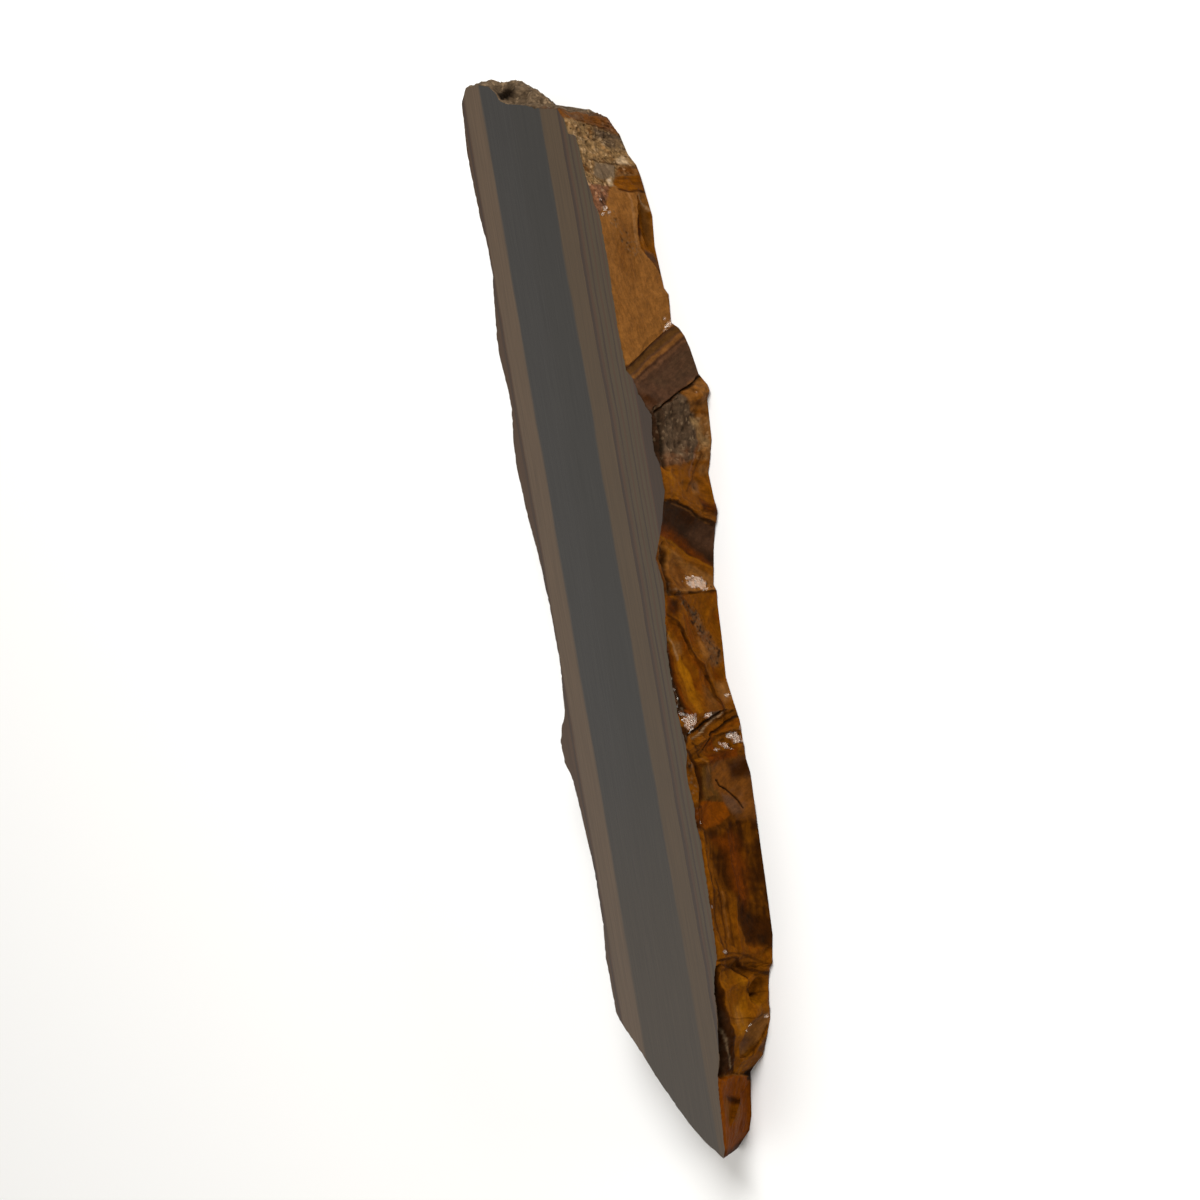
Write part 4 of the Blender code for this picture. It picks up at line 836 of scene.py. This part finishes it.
def wall_surface(sizes, palette):
    """The broken wall as a function of station round the slab and level up it.

    A level's ring is the straight blend of the two rims. Each place then moves outward by the
    main forms, smaller seeded breaks, terraces that follow the layers, crumbs and fine grain,
    less the cracks and rim chips, all fading to nothing at both rims. The patches' relief
    value says how uneven each part is.
    Returns the places in mm with the paint that the finish reads.
    """
    counts = (sizes.south_stations, sizes.end_stations, sizes.north_stations)
    face, back = stations(*counts)
    side_of = np.repeat([0, 1, 2], counts)
    levels = np.linspace(0.0, THICKNESS, sizes.levels)
    share = (levels / THICKNESS)[:, None, None]
    flat = back + (face - back) * share
    places = np.concatenate([flat, np.broadcast_to(levels[:, None, None], flat[..., :1].shape)], -1)
    side = np.broadcast_to(side_of, places.shape[:-1])
    x, z = places[..., 0], places[..., 2]

    paint = painted_wall(places, side, palette)
    uneven, crumbly = paint["uneven"], paint["crumb"]
    out = main_forms(places, side, uneven)
    small = strewn_breaks(150, -146.0, 134.0, ((1.6, 4.5), (1.4, 4.0)), (0.25, 0.8), 5, 60.0)
    fine = strewn_breaks(230, -147.0, 136.0, ((0.8, 2.2), (0.7, 1.9)), (0.15, 0.45), 6, 80.0)
    out += (scallops(small, x, z, 0.0) + scallops(fine, x, z, 0.0)) * uneven

    way = outward(flat)
    layer = -way[..., 1] * places[..., 1] + out + 0.05 * z + 0.7 * grain(places, 8.0, 21)
    layer += 0.25 * grain(places, 2.4, 22)
    out += (terraces(layer, sizes.tread, 3.2) - layer) * 0.8 * uneven * (1.0 - 0.9 * crumbly)

    _, edge, chance = crumbs(places, 1.7, 31)
    out += crumbly * (0.6 * (chance - 0.5) - 0.15 * smooth(1.0 - edge / 0.25))
    _, edge, chance = crumbs(places, 0.8, 32)
    out += crumbly * 0.4 * (chance - 0.5)
    out += 0.11 * (0.3 + 0.7 * uneven) * grain(places, 0.9, 33) + 0.03 * grain(places, 0.45, 34)

    south = side == 0
    cracks, clefts, glint = np.zeros((3, *x.shape))
    cracks[south] = crack_depths(x[south], z[south], 0.3 * grain(places, 1.9, 41)[south])
    clefts[south] = cleft_depths(x[south], z[south])
    ragged = 0.42 * grain(places, 0.9, 42)[south]
    glint[south], facets = glint_masks(x[south], z[south], ragged)
    out -= cracks
    shaken = (grain(places, 1.9, 43) + 0.5 * grain(places, 0.8, 44))[south]
    out[south] = lean_facets(facets, x[south], z[south], places[..., 1][south], out[south], shaken)

    near_tip = smooth((x + 148.6) / 3.0)
    to_rim = np.minimum(z, THICKNESS - z) / RIM_FADE
    out = out * near_tip * np.sqrt(np.clip(to_rim, 0.0, 1.0))

    along = np.arange(len(side_of))[None, :] * 0.33
    chips = np.clip(grain(np.stack([x, places[..., 1], z * 0.0], -1), 2.6, 51) - 0.25, 0.0, 1.0)
    chips += 0.6 * np.clip(grain(np.stack([x, along + x * 0.0, z * 0.0], -1), 0.9, 52), 0.0, 1.0)
    out -= 0.45 * chips * near_tip * smooth(1.0 - (THICKNESS - z) / (0.4 + 1.4 * chips))

    places[..., :2] += way * out[..., None]
    # Painted shade and highlight: the tint darkens where the surface lies below its neighbours and lightens on ridges.
    cavity_shade_and_ridge_light = np.clip((blurred(out, 2) - out) / 0.25, -1.0, 1.0)
    paint["tint"] = paint["tint"] * (1.0 - 0.45 * np.clip(cavity_shade_and_ridge_light, 0.0, 1.0))[..., None]
    paint["tint"] = paint["tint"] * (1.0 + 0.16 * np.clip(-cavity_shade_and_ridge_light, 0.0, 1.0))[..., None]
    # Painted shade: the tint goes towards soot in cracks and clefts, more where they are deeper.
    paint["hollow_shade"] = np.clip(cracks * 1.6 + clefts * 0.24 - 0.1, 0.0, 0.9)
    paint["glint"] = glint
    return places, paint


def shell_mesh(places, paint, name):
    """A mesh of the wall's grid, closed round, with one flat face on each sawn rim."""
    levels, count = places.shape[:2]
    shift = (CAD_LOW[:2] + CAD_HIGH[:2]) / (2.0 * MM)
    shift = shift - (places[..., :2].min(axis=(0, 1)) + places[..., :2].max(axis=(0, 1))) / 2.0
    places = places + np.append(shift, 0.0)
    index = np.arange(levels * count).reshape(levels, count)
    lower, upper = index[:-1], index[1:]
    quads = np.stack(
        [lower, np.roll(lower, -1, axis=1), np.roll(upper, -1, axis=1), upper], axis=-1
    ).reshape(-1, 4)
    faces = quads.tolist() + [index[0, ::-1].tolist(), index[-1].tolist()]
    mesh = bpy.data.meshes.new(name)
    mesh.from_pydata((places.reshape(-1, 3) * MM).tolist(), [], faces)
    kinds = np.zeros(len(faces), dtype=np.int32)
    kinds[:-2][paint["glint"].ravel()[quads].mean(axis=1) > 0.5] = 3
    kinds[-2:] = (1, 2)
    mesh.polygons.foreach_set("material_index", kinds)
    mesh.polygons.foreach_set("use_smooth", np.ones(len(faces), dtype=bool))
    for label in ("gloss", "crumb", "hollow_shade"):
        layer = mesh.attributes.new(label, "FLOAT", "POINT")
        layer.data.foreach_set("value", paint[label].astype(np.float32).ravel())
    tint = np.concatenate([paint["tint"], np.ones((levels, count, 1))], -1)
    layer = mesh.attributes.new("tint", "FLOAT_COLOR", "POINT")
    layer.data.foreach_set("color", tint.astype(np.float32).ravel())
    layer = mesh.attributes.new("run", "FLOAT_VECTOR", "POINT")
    layer.data.foreach_set("vector", paint["run"].astype(np.float32).ravel())
    mesh.set_sharp_from_angle(angle=np.radians(34.0))
    ends = np.empty(len(mesh.edges) * 2, dtype=np.int32)
    mesh.edges.foreach_get("vertices", ends)
    on_rim = (ends < count) | (ends >= (levels - 1) * count)
    sharp = np.empty(len(mesh.edges), dtype=bool)
    mesh.edges.foreach_get("use_edge_sharp", sharp)
    mesh.edges.foreach_set("use_edge_sharp", sharp | on_rim.reshape(-1, 2).all(axis=1))
    mesh.validate()
    mesh.update()
    return mesh, shift


# The finish.


class Nodes:
    """Adds shader nodes to one tree, joined as they are made."""

    def __init__(self, tree):
        self.tree = tree

    def add(self, kind, inputs=(), **settings):
        node = self.tree.nodes.new(kind)
        for name, value in settings.items():
            setattr(node, name, value)
        for socket, value in dict(inputs).items():
            self.put(node.inputs[socket], value)
        return node

    def put(self, socket, value):
        if isinstance(value, bpy.types.NodeSocket):
            self.tree.links.new(value, socket)
        else:
            socket.default_value = value

    def maths(self, operation, *values):
        node = self.add("ShaderNodeMath", operation=operation)
        for socket, value in zip(node.inputs, values):
            self.put(socket, value)
        return node.outputs[0]

    def mix(self, factor, first, second, blend="MIX"):
        node = self.add("ShaderNodeMix", data_type="RGBA", blend_type=blend)
        node.clamp_factor = True
        self.put(node.inputs["Factor"], factor)
        self.put(node.inputs["A"], first)
        self.put(node.inputs["B"], second)
        return node.outputs["Result"]

    def noise(self, vector, scale, detail=4.0, roughness=0.55):
        node = self.add("ShaderNodeTexNoise", {"Vector": vector, "Scale": scale})
        node.inputs["Detail"].default_value = detail
        node.inputs["Roughness"].default_value = roughness
        return node.outputs["Fac"]

    def ramp(self, factor, stops, interpolation="LINEAR"):
        node = self.add("ShaderNodeValToRGB", {"Fac": factor})
        ramp = node.color_ramp
        ramp.interpolation = interpolation
        while len(ramp.elements) < len(stops):
            ramp.elements.new(0.5)
        for element, (place, colour) in zip(ramp.elements, stops):
            element.position = place
            element.color = (*colour, 1.0) if len(colour) == 3 else colour
        return node.outputs["Color"]

    def span(self, value, low, high, first=0.0, last=1.0, kind="SMOOTHSTEP"):
        node = self.add("ShaderNodeMapRange", interpolation_type=kind)
        for socket, number in zip(node.inputs, (value, low, high, first, last)):
            self.put(socket, number)
        return node.outputs["Result"]

    def scaled(self, tint, amount):
        node = self.add("ShaderNodeVectorMath", operation="SCALE")
        self.put(node.inputs[0], tint)
        self.put(node.inputs["Scale"], amount)
        return node.outputs["Vector"]

    def attribute(self, name, output="Fac"):
        return self.add("ShaderNodeAttribute", attribute_name=name).outputs[output]


def new_material(name):
    material = bpy.data.materials.new(name)
    material.use_nodes = True
    tree = material.node_tree
    shader = tree.nodes["Principled BSDF"]
    return material, Nodes(tree), shader


def grey(value):
    return (value, value, value)


def stone_coordinates(nodes):
    """Object coordinates in millimetres: the vector, then x, y and z."""
    place = nodes.add("ShaderNodeTexCoord").outputs["Object"]
    scaled = nodes.add("ShaderNodeVectorMath", operation="SCALE")
    nodes.put(scaled.inputs[0], place)
    scaled.inputs["Scale"].default_value = 1.0 / MM
    vector = scaled.outputs["Vector"]
    split = nodes.add("ShaderNodeSeparateXYZ", {"Vector": vector})
    return vector, split.outputs["X"], split.outputs["Y"], split.outputs["Z"]


def stretched(nodes, vector, scale):
    node = nodes.add("ShaderNodeVectorMath", operation="MULTIPLY")
    nodes.put(node.inputs[0], vector)
    node.inputs[1].default_value = scale
    return node.outputs["Vector"]


# Bands across the polished face by y in mm: broad ones with soft edges, as ramp stops, then the
# thin lines south of them, each from its start to the next.
BROAD_BANDS = (
    (-10.8, "band"), (-5.1, "band"), (-4.4, "shade"), (3.0, "shade"), (8.0, "core"),
    (15.2, "core"), (15.9, "amber"), (21.4, "amber"), (21.9, "dull"), (22.4, "line"),
    (23.0, "dull"),
)
THIN_LINES = (
    (-28.0, "line"), (-21.4, "rust"), (-20.9, "pale"), (-20.1, "rust"), (-19.7, "pale"),
    (-18.6, "rust"), (-18.2, "pale"), (-17.2, "line"), (-16.8, "pale"), (-15.6, "dull"),
    (-15.0, "pale"), (-13.9, "line"), (-13.4, "pale"), (-12.6, "dull"), (-11.7, "line"),
)
FACE_LOW, FACE_HIGH = -28.0, 28.0


LINE_EDGE = 0.14
# Towards the tip the core and its southern half turn paler and browner.
PALE_TIP = {"core": "worn", "shade": "worn"}


def band_stops(bands, palette):
    """Ramp stops for bands given by their y in mm."""
    span = FACE_HIGH - FACE_LOW
    return [((start - FACE_LOW) / span, palette[label]) for start, label in bands]


def paired(bands):
    """Two stops for each change of colour, so that every band is plain and its edges soft."""
    stops = [bands[0]]
    for (_, before), (start, after) in zip(bands, bands[1:]):
        stops += [(start - LINE_EDGE, before), (start + LINE_EDGE, after)]
    return stops


def face_finish(palette, shift):
    """Mirror polish over straight bands: y, wavered a little by noise, picks the colour."""
    material, nodes, shader = new_material("polished_bands")
    vector, x, y, _ = stone_coordinates(nodes)
    waver = nodes.noise(stretched(nodes, vector, (0.025, 0.05, 0.0)), 1.0, 2.0)
    fine = nodes.noise(stretched(nodes, vector, (0.12, 1.4, 0.0)), 1.0, 5.0, 0.7)
    place = nodes.maths("MULTIPLY_ADD", nodes.maths("SUBTRACT", waver, 0.5), 1.4, y)
    place = nodes.maths("MULTIPLY_ADD", nodes.maths("SUBTRACT", fine, 0.5), 0.7, place)
    share = nodes.span(place, FACE_LOW + shift[1], FACE_HIGH + shift[1], kind="LINEAR")
    broad = nodes.ramp(share, band_stops(BROAD_BANDS, palette))
    worn = nodes.ramp(share, band_stops([(y, PALE_TIP.get(k, k)) for y, k in BROAD_BANDS], palette))
    broad = nodes.mix(nodes.span(x, -18.0, -118.0, 0.0, 0.95), broad, worn)
    lines = nodes.ramp(share, band_stops(paired(THIN_LINES), palette))
    south = nodes.maths("LESS_THAN", place, BROAD_BANDS[0][0] + shift[1])
    tint = nodes.mix(south, broad, lines)
    streak = nodes.noise(stretched(nodes, vector, (0.04, 2.2, 0.0)), 1.0, 6.0, 0.75)
    tint = nodes.scaled(tint, nodes.span(streak, 0.25, 0.75, 0.78, 1.22))
    scratch = nodes.noise(stretched(nodes, vector, (0.35, 2.6, 0.0)), 1.0, 8.0, 0.8)
    tint = nodes.mix(nodes.span(scratch, 0.73, 0.80, 0.0, 0.35), tint, (0.2, 0.19, 0.18, 1.0))
    nodes.put(shader.inputs["Base Color"], tint)
    cloud = nodes.noise(vector, 0.09, 3.0)
    nodes.put(shader.inputs["Roughness"], nodes.span(cloud, 0.3, 0.75, 0.04, 0.09))
    shader.inputs["IOR"].default_value = 1.54
    return material


def broken_stone(name, palette, gloss_range, specular, sheen_tint, relief):
    """Broken stone: the painted tint under fibres and crystals, with painted shade in cracks and hollows, and its own
    gloss.
    """
    material, nodes, shader = new_material(name)
    vector, _, _, _ = stone_coordinates(nodes)
    run = nodes.attribute("run", "Vector")
    tint = nodes.attribute("tint", "Color")
    gloss, crumb = nodes.attribute("gloss"), nodes.attribute("crumb")
    fibre = nodes.noise(stretched(nodes, run, (0.22, 1.7, 0.6)), 1.0, 5.0, 0.6)
    blotch = nodes.noise(vector, 0.6, 6.0, 0.62)
    speck = nodes.noise(vector, 2.2, 6.0, 0.7)
    tint = nodes.scaled(tint, nodes.span(fibre, 0.28, 0.72, 0.86, 1.14))
    tint = nodes.scaled(tint, nodes.span(blotch, 0.32, 0.68, 0.82, 1.18))
    tint = nodes.scaled(tint, nodes.span(speck, 0.34, 0.46, 0.72, 1.0))

    jitter = nodes.add("ShaderNodeTexNoise", {"Vector": vector, "Scale": 2.0, "Detail": 3.0})
    shaken = nodes.add("ShaderNodeVectorMath", operation="MULTIPLY_ADD")
    nodes.put(shaken.inputs[0], jitter.outputs["Color"])
    shaken.inputs[1].default_value = (1.0, 1.0, 1.0)
    nodes.put(shaken.inputs[2], vector)
    cells = nodes.add("ShaderNodeTexVoronoi", {"Vector": shaken.outputs["Vector"], "Scale": 1.2})
    chance = nodes.add("ShaderNodeSeparateXYZ", {"Vector": cells.outputs["Color"]}).outputs["X"]
    crystals = nodes.scaled(tint, nodes.span(chance, 0.0, 1.0, 0.60, 1.30, "LINEAR"))
    pale = nodes.span(chance, 0.84, 0.98, 0.0, 0.5)
    crystals = nodes.mix(pale, crystals, (*palette["cream"], 1.0))
    gaps = nodes.span(cells.outputs["Distance"], 0.35, 0.85, 1.08, 0.5)
    crystals = nodes.scaled(crystals, gaps)
    tint = nodes.mix(crumb, tint, crystals)
    # Painted shade: soot mixed in by the hollow value from the cracks and clefts.
    tint = nodes.mix(nodes.attribute("hollow_shade"), tint, (*palette["soot"], 1.0))
    nodes.put(shader.inputs["Base Color"], tint)
    rough = nodes.span(gloss, 0.0, 1.0, *gloss_range, kind="LINEAR")
    nodes.put(shader.inputs["Roughness"], nodes.maths("MULTIPLY_ADD", blotch, 0.16, rough))
    shader.inputs["Specular IOR Level"].default_value = specular
    shader.inputs["Specular Tint"].default_value = (*sheen_tint, 1.0)
    height = nodes.maths("MULTIPLY_ADD", fibre, 0.7, speck)
    bump = nodes.add("ShaderNodeBump", {"Strength": relief, "Distance": 0.00018})
    nodes.put(bump.inputs["Height"], height)
    nodes.put(shader.inputs["Normal"], bump.outputs["Normal"])
    return material


def wall_finish(palette, shift):
    """The wall at large: mostly matt, with a faint gold sheen."""
    return broken_stone("broken_edge", palette, (0.60, 0.30), 0.02, (1.0, 0.75, 0.45), 0.7)


def glint_finish(palette, shift):
    """The small leaning facets: clean glassy quartz."""
    return broken_stone("glassy_facets", palette, (0.12, 0.08), 1.0, (1.0, 0.96, 0.90), 0.5)


def back_finish(palette, shift):
    """A plain saw cut: the same bands gone matt, under fine parallel blade marks."""
    material, nodes, shader = new_material("sawn_back")
    vector, x, y, _ = stone_coordinates(nodes)
    waver = nodes.noise(stretched(nodes, vector, (0.03, 0.05, 0.0)), 1.0, 3.0)
    place = nodes.maths("MULTIPLY_ADD", nodes.maths("SUBTRACT", waver, 0.5), 2.4, y)
    share = nodes.span(place, -28.0, 28.0, kind="LINEAR")
    colour = nodes.ramp(
        share,
        (
            (0.0, palette["dull"]), (0.2, palette["band"]), (0.24, palette["line"]),
            (0.3, palette["dull"]), (0.4, palette["band"]), (0.43, palette["core"]),
            (0.74, palette["core"]), (0.78, palette["amber"]), (1.0, palette["band"]),
        ),
    )
    dusty = nodes.noise(vector, 0.25, 6.0, 0.7)
    base = nodes.mix(nodes.span(dusty, 0.3, 0.9, 0.25, 0.6), colour, (*palette["matrix"], 1.0))
    nodes.put(shader.inputs["Base Color"], base)
    shader.inputs["Roughness"].default_value = 0.62
    shader.inputs["Specular IOR Level"].default_value = 0.35
    wave = nodes.add("ShaderNodeTexWave", {"Vector": vector, "Scale": 0.55})
    wave.inputs["Distortion"].default_value = 0.6
    bump = nodes.add("ShaderNodeBump", {"Strength": 0.25, "Distance": 0.00008})
    nodes.put(bump.inputs["Height"], wave.outputs["Fac"])
    nodes.put(shader.inputs["Normal"], bump.outputs["Normal"])
    return material


def colour(name, description, value):
    return bpy.props.FloatVectorProperty(
        name=name, description=description, default=value, size=3, subtype="COLOR",
        min=0.0, max=1.0,
    )


class SlabSizes(bpy.types.PropertyGroup):
    """How finely the wall is worked, and how deep its terraces are."""

    south_stations: bpy.props.IntProperty(
        name="South stations", description="Grid columns along the visible wall", default=1000
    )
    end_stations: bpy.props.IntProperty(
        name="End stations", description="Grid columns across the broken end", default=90
    )
    north_stations: bpy.props.IntProperty(
        name="North stations", description="Grid columns along the far wall", default=380
    )
    levels: bpy.props.IntProperty(
        name="Levels", description="Grid rows from the back up to the polished face", default=65
    )
    tread: bpy.props.FloatProperty(
        name="Tread", description="Depth of one terrace in millimetres", default=1.1
    )


class StoneColours(bpy.types.PropertyGroup):
    """The stone's own colours, as linear values. Some also paint shade, shadows, highlights and sheen on the broken
    wall.
    """

    core: colour("Core", "Dark middle of the polished face", (0.0205, 0.0187, 0.0164))
    shade: colour("Shade", "Southern half of the core", (0.0182, 0.0165, 0.0140))
    worn: colour("Pale tip", "Paler core near the tip", (0.0300, 0.0212, 0.0128))
    band: colour("Band", "Brown band south of the core", (0.0460, 0.0275, 0.0120))
    amber: colour("Outer band", "Lighter band north of the core", (0.0630, 0.0390, 0.0210))
    line: colour("Line", "Dark thin lines", (0.0240, 0.0125, 0.0062))
    rust: colour("Rust", "Reddish thin lines", (0.0365, 0.0160, 0.0075))
    dull: colour("Dull", "Purplish brown lines", (0.0395, 0.0190, 0.0080))
    pale: colour("Pale", "Olive grey between the lines", (0.0400, 0.0258, 0.0115))
    tan: colour("Tan", "Matt tan fibre", (0.1300, 0.0510, 0.0105))
    fawn: colour("Fawn", "Darker tan fibre", (0.1080, 0.0410, 0.0080))
    gold: colour("Gold", "Gold fibre", (0.1000, 0.0300, 0.0008))
    bright: colour("Bright gold", "Bright gold fibre", (0.1650, 0.0570, 0.0010))
    amber_stone: colour("Amber", "Orange gold fibre", (0.1040, 0.0250, 0.0004))
    russet: colour("Russet", "Reddish gold fibre", (0.0780, 0.0165, 0.0003))
    sienna: colour("Sienna", "Red-brown layers", (0.0820, 0.0265, 0.0035))
    umber: colour("Umber", "Dark brown layers", (0.0210, 0.0055, 0.0004))
    bister: colour("Bister", "Dark grey-brown layers", (0.0165, 0.0070, 0.0030))
    olive: colour("Olive", "Olive brown fibre", (0.0540, 0.0215, 0.0030))
    plum: colour("Plum", "Purple-brown layers", (0.0420, 0.0190, 0.0095))
    mauve: colour("Mauve", "Lighter purple-brown layers", (0.0700, 0.0300, 0.0125))
    # Rose is pink stone, and also a painted sheen on the tan facet.
    rose: colour("Rose", "Pinkish weathered stone", (0.1250, 0.0520, 0.0240))
    slate: colour("Slate", "Grey-brown layers", (0.0360, 0.0180, 0.0090))
    ochre: colour("Ochre", "Yellow-brown host rock", (0.1600, 0.0930, 0.0380))
    matrix: colour("Matrix", "Grey host rock", (0.0560, 0.0345, 0.0195))
    ash: colour("Ash", "Warm grey stone", (0.0920, 0.0610, 0.0350))
    # Cream is pale crystals, and also painted highlights along lit edges.
    cream: colour("Cream", "Pale crystals", (0.3000, 0.2050, 0.1150))
    # Soot is the stone's dark pits, and also painted shade in cracks, clefts and hollows and a painted shadow on the
    # wall.
    soot: colour("Soot and shade", "Dirt in cracks and hollows", (0.007, 0.004, 0.002))


class StageSettings(bpy.types.PropertyGroup):
    """The floor, lights and camera."""

    floor: colour("Floor", "Floor colour", (0.86, 0.86, 0.85))
    sky: colour("Sky", "Soft surround", (0.84, 0.82, 0.79))
    distance: bpy.props.FloatProperty(
        name="Distance", description="Camera distance", default=0.95, unit="LENGTH"
    )
    tilt: bpy.props.FloatProperty(
        name="Tilt", description="Camera angle off the face's normal", default=np.radians(42.0),
        subtype="ANGLE",
    )
    roll: bpy.props.FloatProperty(
        name="Roll", description="Lean of the bands in the frame", default=np.radians(9.8),
        subtype="ANGLE",
    )
    view_height: bpy.props.FloatProperty(
        name="View height", description="Height of the frame at the slab", default=0.324,
        unit="LENGTH",
    )


class STONE_OT_slab(bpy.types.Operator):
    """Builds the broken and polished slab"""

    bl_idname = "stone.slab"
    bl_label = "Broken slab"

    def execute(self, context):
        colours = context.scene.stone_colours
        names = [name for name in colours.bl_rna.properties.keys() if name not in HIDDEN]
        palette = {name: np.array(getattr(colours, name)) for name in names}
        places, paint = wall_surface(context.scene.slab_sizes, palette)
        mesh, shift = shell_mesh(places, paint, SLAB_PIECE)
        for finish in (wall_finish, back_finish, face_finish, glint_finish):
            mesh.materials.append(finish(palette, shift))
        slab = bpy.data.objects.new(SLAB_PIECE, mesh)
        context.scene.collection.objects.link(slab)
        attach(slab, "root")
        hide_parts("slab")
        return {"FINISHED"}


def look_along(place, target, up):
    """A camera or light matrix at a place, facing a target, with this up direction."""
    back = (place - target).normalized()
    right = up.cross(back).normalized()
    matrix = Matrix((right, back.cross(right), back)).transposed().to_4x4()
    matrix.translation = place
    return matrix


def soft_light(name, place, target, size, power, tint=(1.0, 1.0, 1.0)):
    data = bpy.data.lights.new(name, "AREA")
    data.shape = "RECTANGLE"
    data.size, data.size_y = size
    data.energy = power
    data.color = tint
    lamp = bpy.data.objects.new(name, data)
    lamp.matrix_world = look_along(Vector(place), Vector(target), Vector((0.0, 0.0, 1.0)))
    bpy.context.scene.collection.objects.link(lamp)


def make_surround(sky):
    """A dim room in front, and a pale wall behind that is brighter towards the slab's tip."""
    world = bpy.data.worlds.new("studio")
    bpy.context.scene.world = world
    world.use_nodes = True
    nodes = Nodes(world.node_tree)
    way = nodes.add("ShaderNodeTexCoord").outputs["Generated"]
    split = nodes.add("ShaderNodeSeparateXYZ", {"Vector": way})
    behind = nodes.span(split.outputs["X"], -0.16, 0.16, 1.28, 0.72, kind="LINEAR")
    strength = nodes.span(split.outputs["Y"], -0.15, 0.30, 0.45, behind)
    background = world.node_tree.nodes["Background"]
    background.inputs["Color"].default_value = (*sky, 1.0)
    nodes.put(background.inputs["Strength"], strength)


class STONE_OT_stage(bpy.types.Operator):
    """Lays the pale floor and sets the lights and camera"""

    bl_idname = "stone.stage"
    bl_label = "Stage"

    def execute(self, context):
        settings = context.scene.stage_settings
        material, nodes, shader = new_material("pale_floor")
        shader.inputs["Base Color"].default_value = (*settings.floor, 1.0)
        shader.inputs["Roughness"].default_value = 0.7
        shader.inputs["Specular IOR Level"].default_value = 0.2
        half = 3.0
        mesh = bpy.data.meshes.new("floor")
        corners = ((-half, -half), (half, -half), (half, half), (-half, half))
        mesh.from_pydata([(x, y, -0.0002) for x, y in corners], [], [(0, 1, 2, 3)])
        mesh.materials.append(material)
        floor = bpy.data.objects.new("floor", mesh)
        context.scene.collection.objects.link(floor)
        floor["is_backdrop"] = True

        make_surround(settings.sky)
        soft_light("key", (0.62, -0.55, 0.86), (0.0, 0.0, 0.01), (0.45, 0.45), 16.0)
        soft_light("low strip", (0.0, -1.25, 0.27), (0.0, 0.0, 0.01), (0.5, 0.12), 5.4, (1.0, 0.94, 0.87))

        tilt, roll = settings.tilt, settings.roll
        back = Vector((0.0, -np.sin(tilt), np.cos(tilt)))
        up = Vector((np.cos(roll), -np.sin(roll) * np.cos(tilt), -np.sin(roll) * np.sin(tilt)))
        target = Vector((0.0050, 0.0041, THICKNESS * MM))
        data = bpy.data.cameras.new("camera")
        data.sensor_width = 36.0
        data.lens = 36.0 * settings.distance / settings.view_height
        camera = bpy.data.objects.new("camera", data)
        camera.matrix_world = look_along(target + back * settings.distance, target, up)
        context.scene.collection.objects.link(camera)
        context.scene.camera = camera
        context.scene.view_settings.view_transform = "Standard"
        return {"FINISHED"}


class STONE_PT_panel(bpy.types.Panel):
    """Lists the slab's and the stage's operators with their settings"""

    bl_idname = "STONE_PT_panel"
    bl_label = "Tiger's eye slab"
    bl_space_type = "VIEW_3D"
    bl_region_type = "UI"
    bl_category = "Stone"

    def draw(self, context):
        scene = context.scene
        for operator, group in (
            (STONE_OT_slab, scene.slab_sizes),
            (STONE_OT_slab, scene.stone_colours),
            (STONE_OT_stage, scene.stage_settings),
        ):
            self.layout.operator(operator.bl_idname)
            for name in group.bl_rna.properties.keys():
                if name not in HIDDEN:
                    self.layout.prop(group, name)


CLASSES = (SlabSizes, StoneColours, StageSettings, STONE_OT_slab, STONE_OT_stage, STONE_PT_panel)


def register():
    for item in CLASSES:
        bpy.utils.register_class(item)
    bpy.types.Scene.slab_sizes = bpy.props.PointerProperty(type=SlabSizes)
    bpy.types.Scene.stone_colours = bpy.props.PointerProperty(type=StoneColours)
    bpy.types.Scene.stage_settings = bpy.props.PointerProperty(type=StageSettings)


def unregister():
    for name in ("slab_sizes", "stone_colours", "stage_settings"):
        delattr(bpy.types.Scene, name)
    for item in reversed(CLASSES):
        bpy.utils.unregister_class(item)


def main():
    register()
    bpy.ops.stone.slab()
    bpy.ops.stone.stage()
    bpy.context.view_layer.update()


if __name__ == "__main__":
    main()
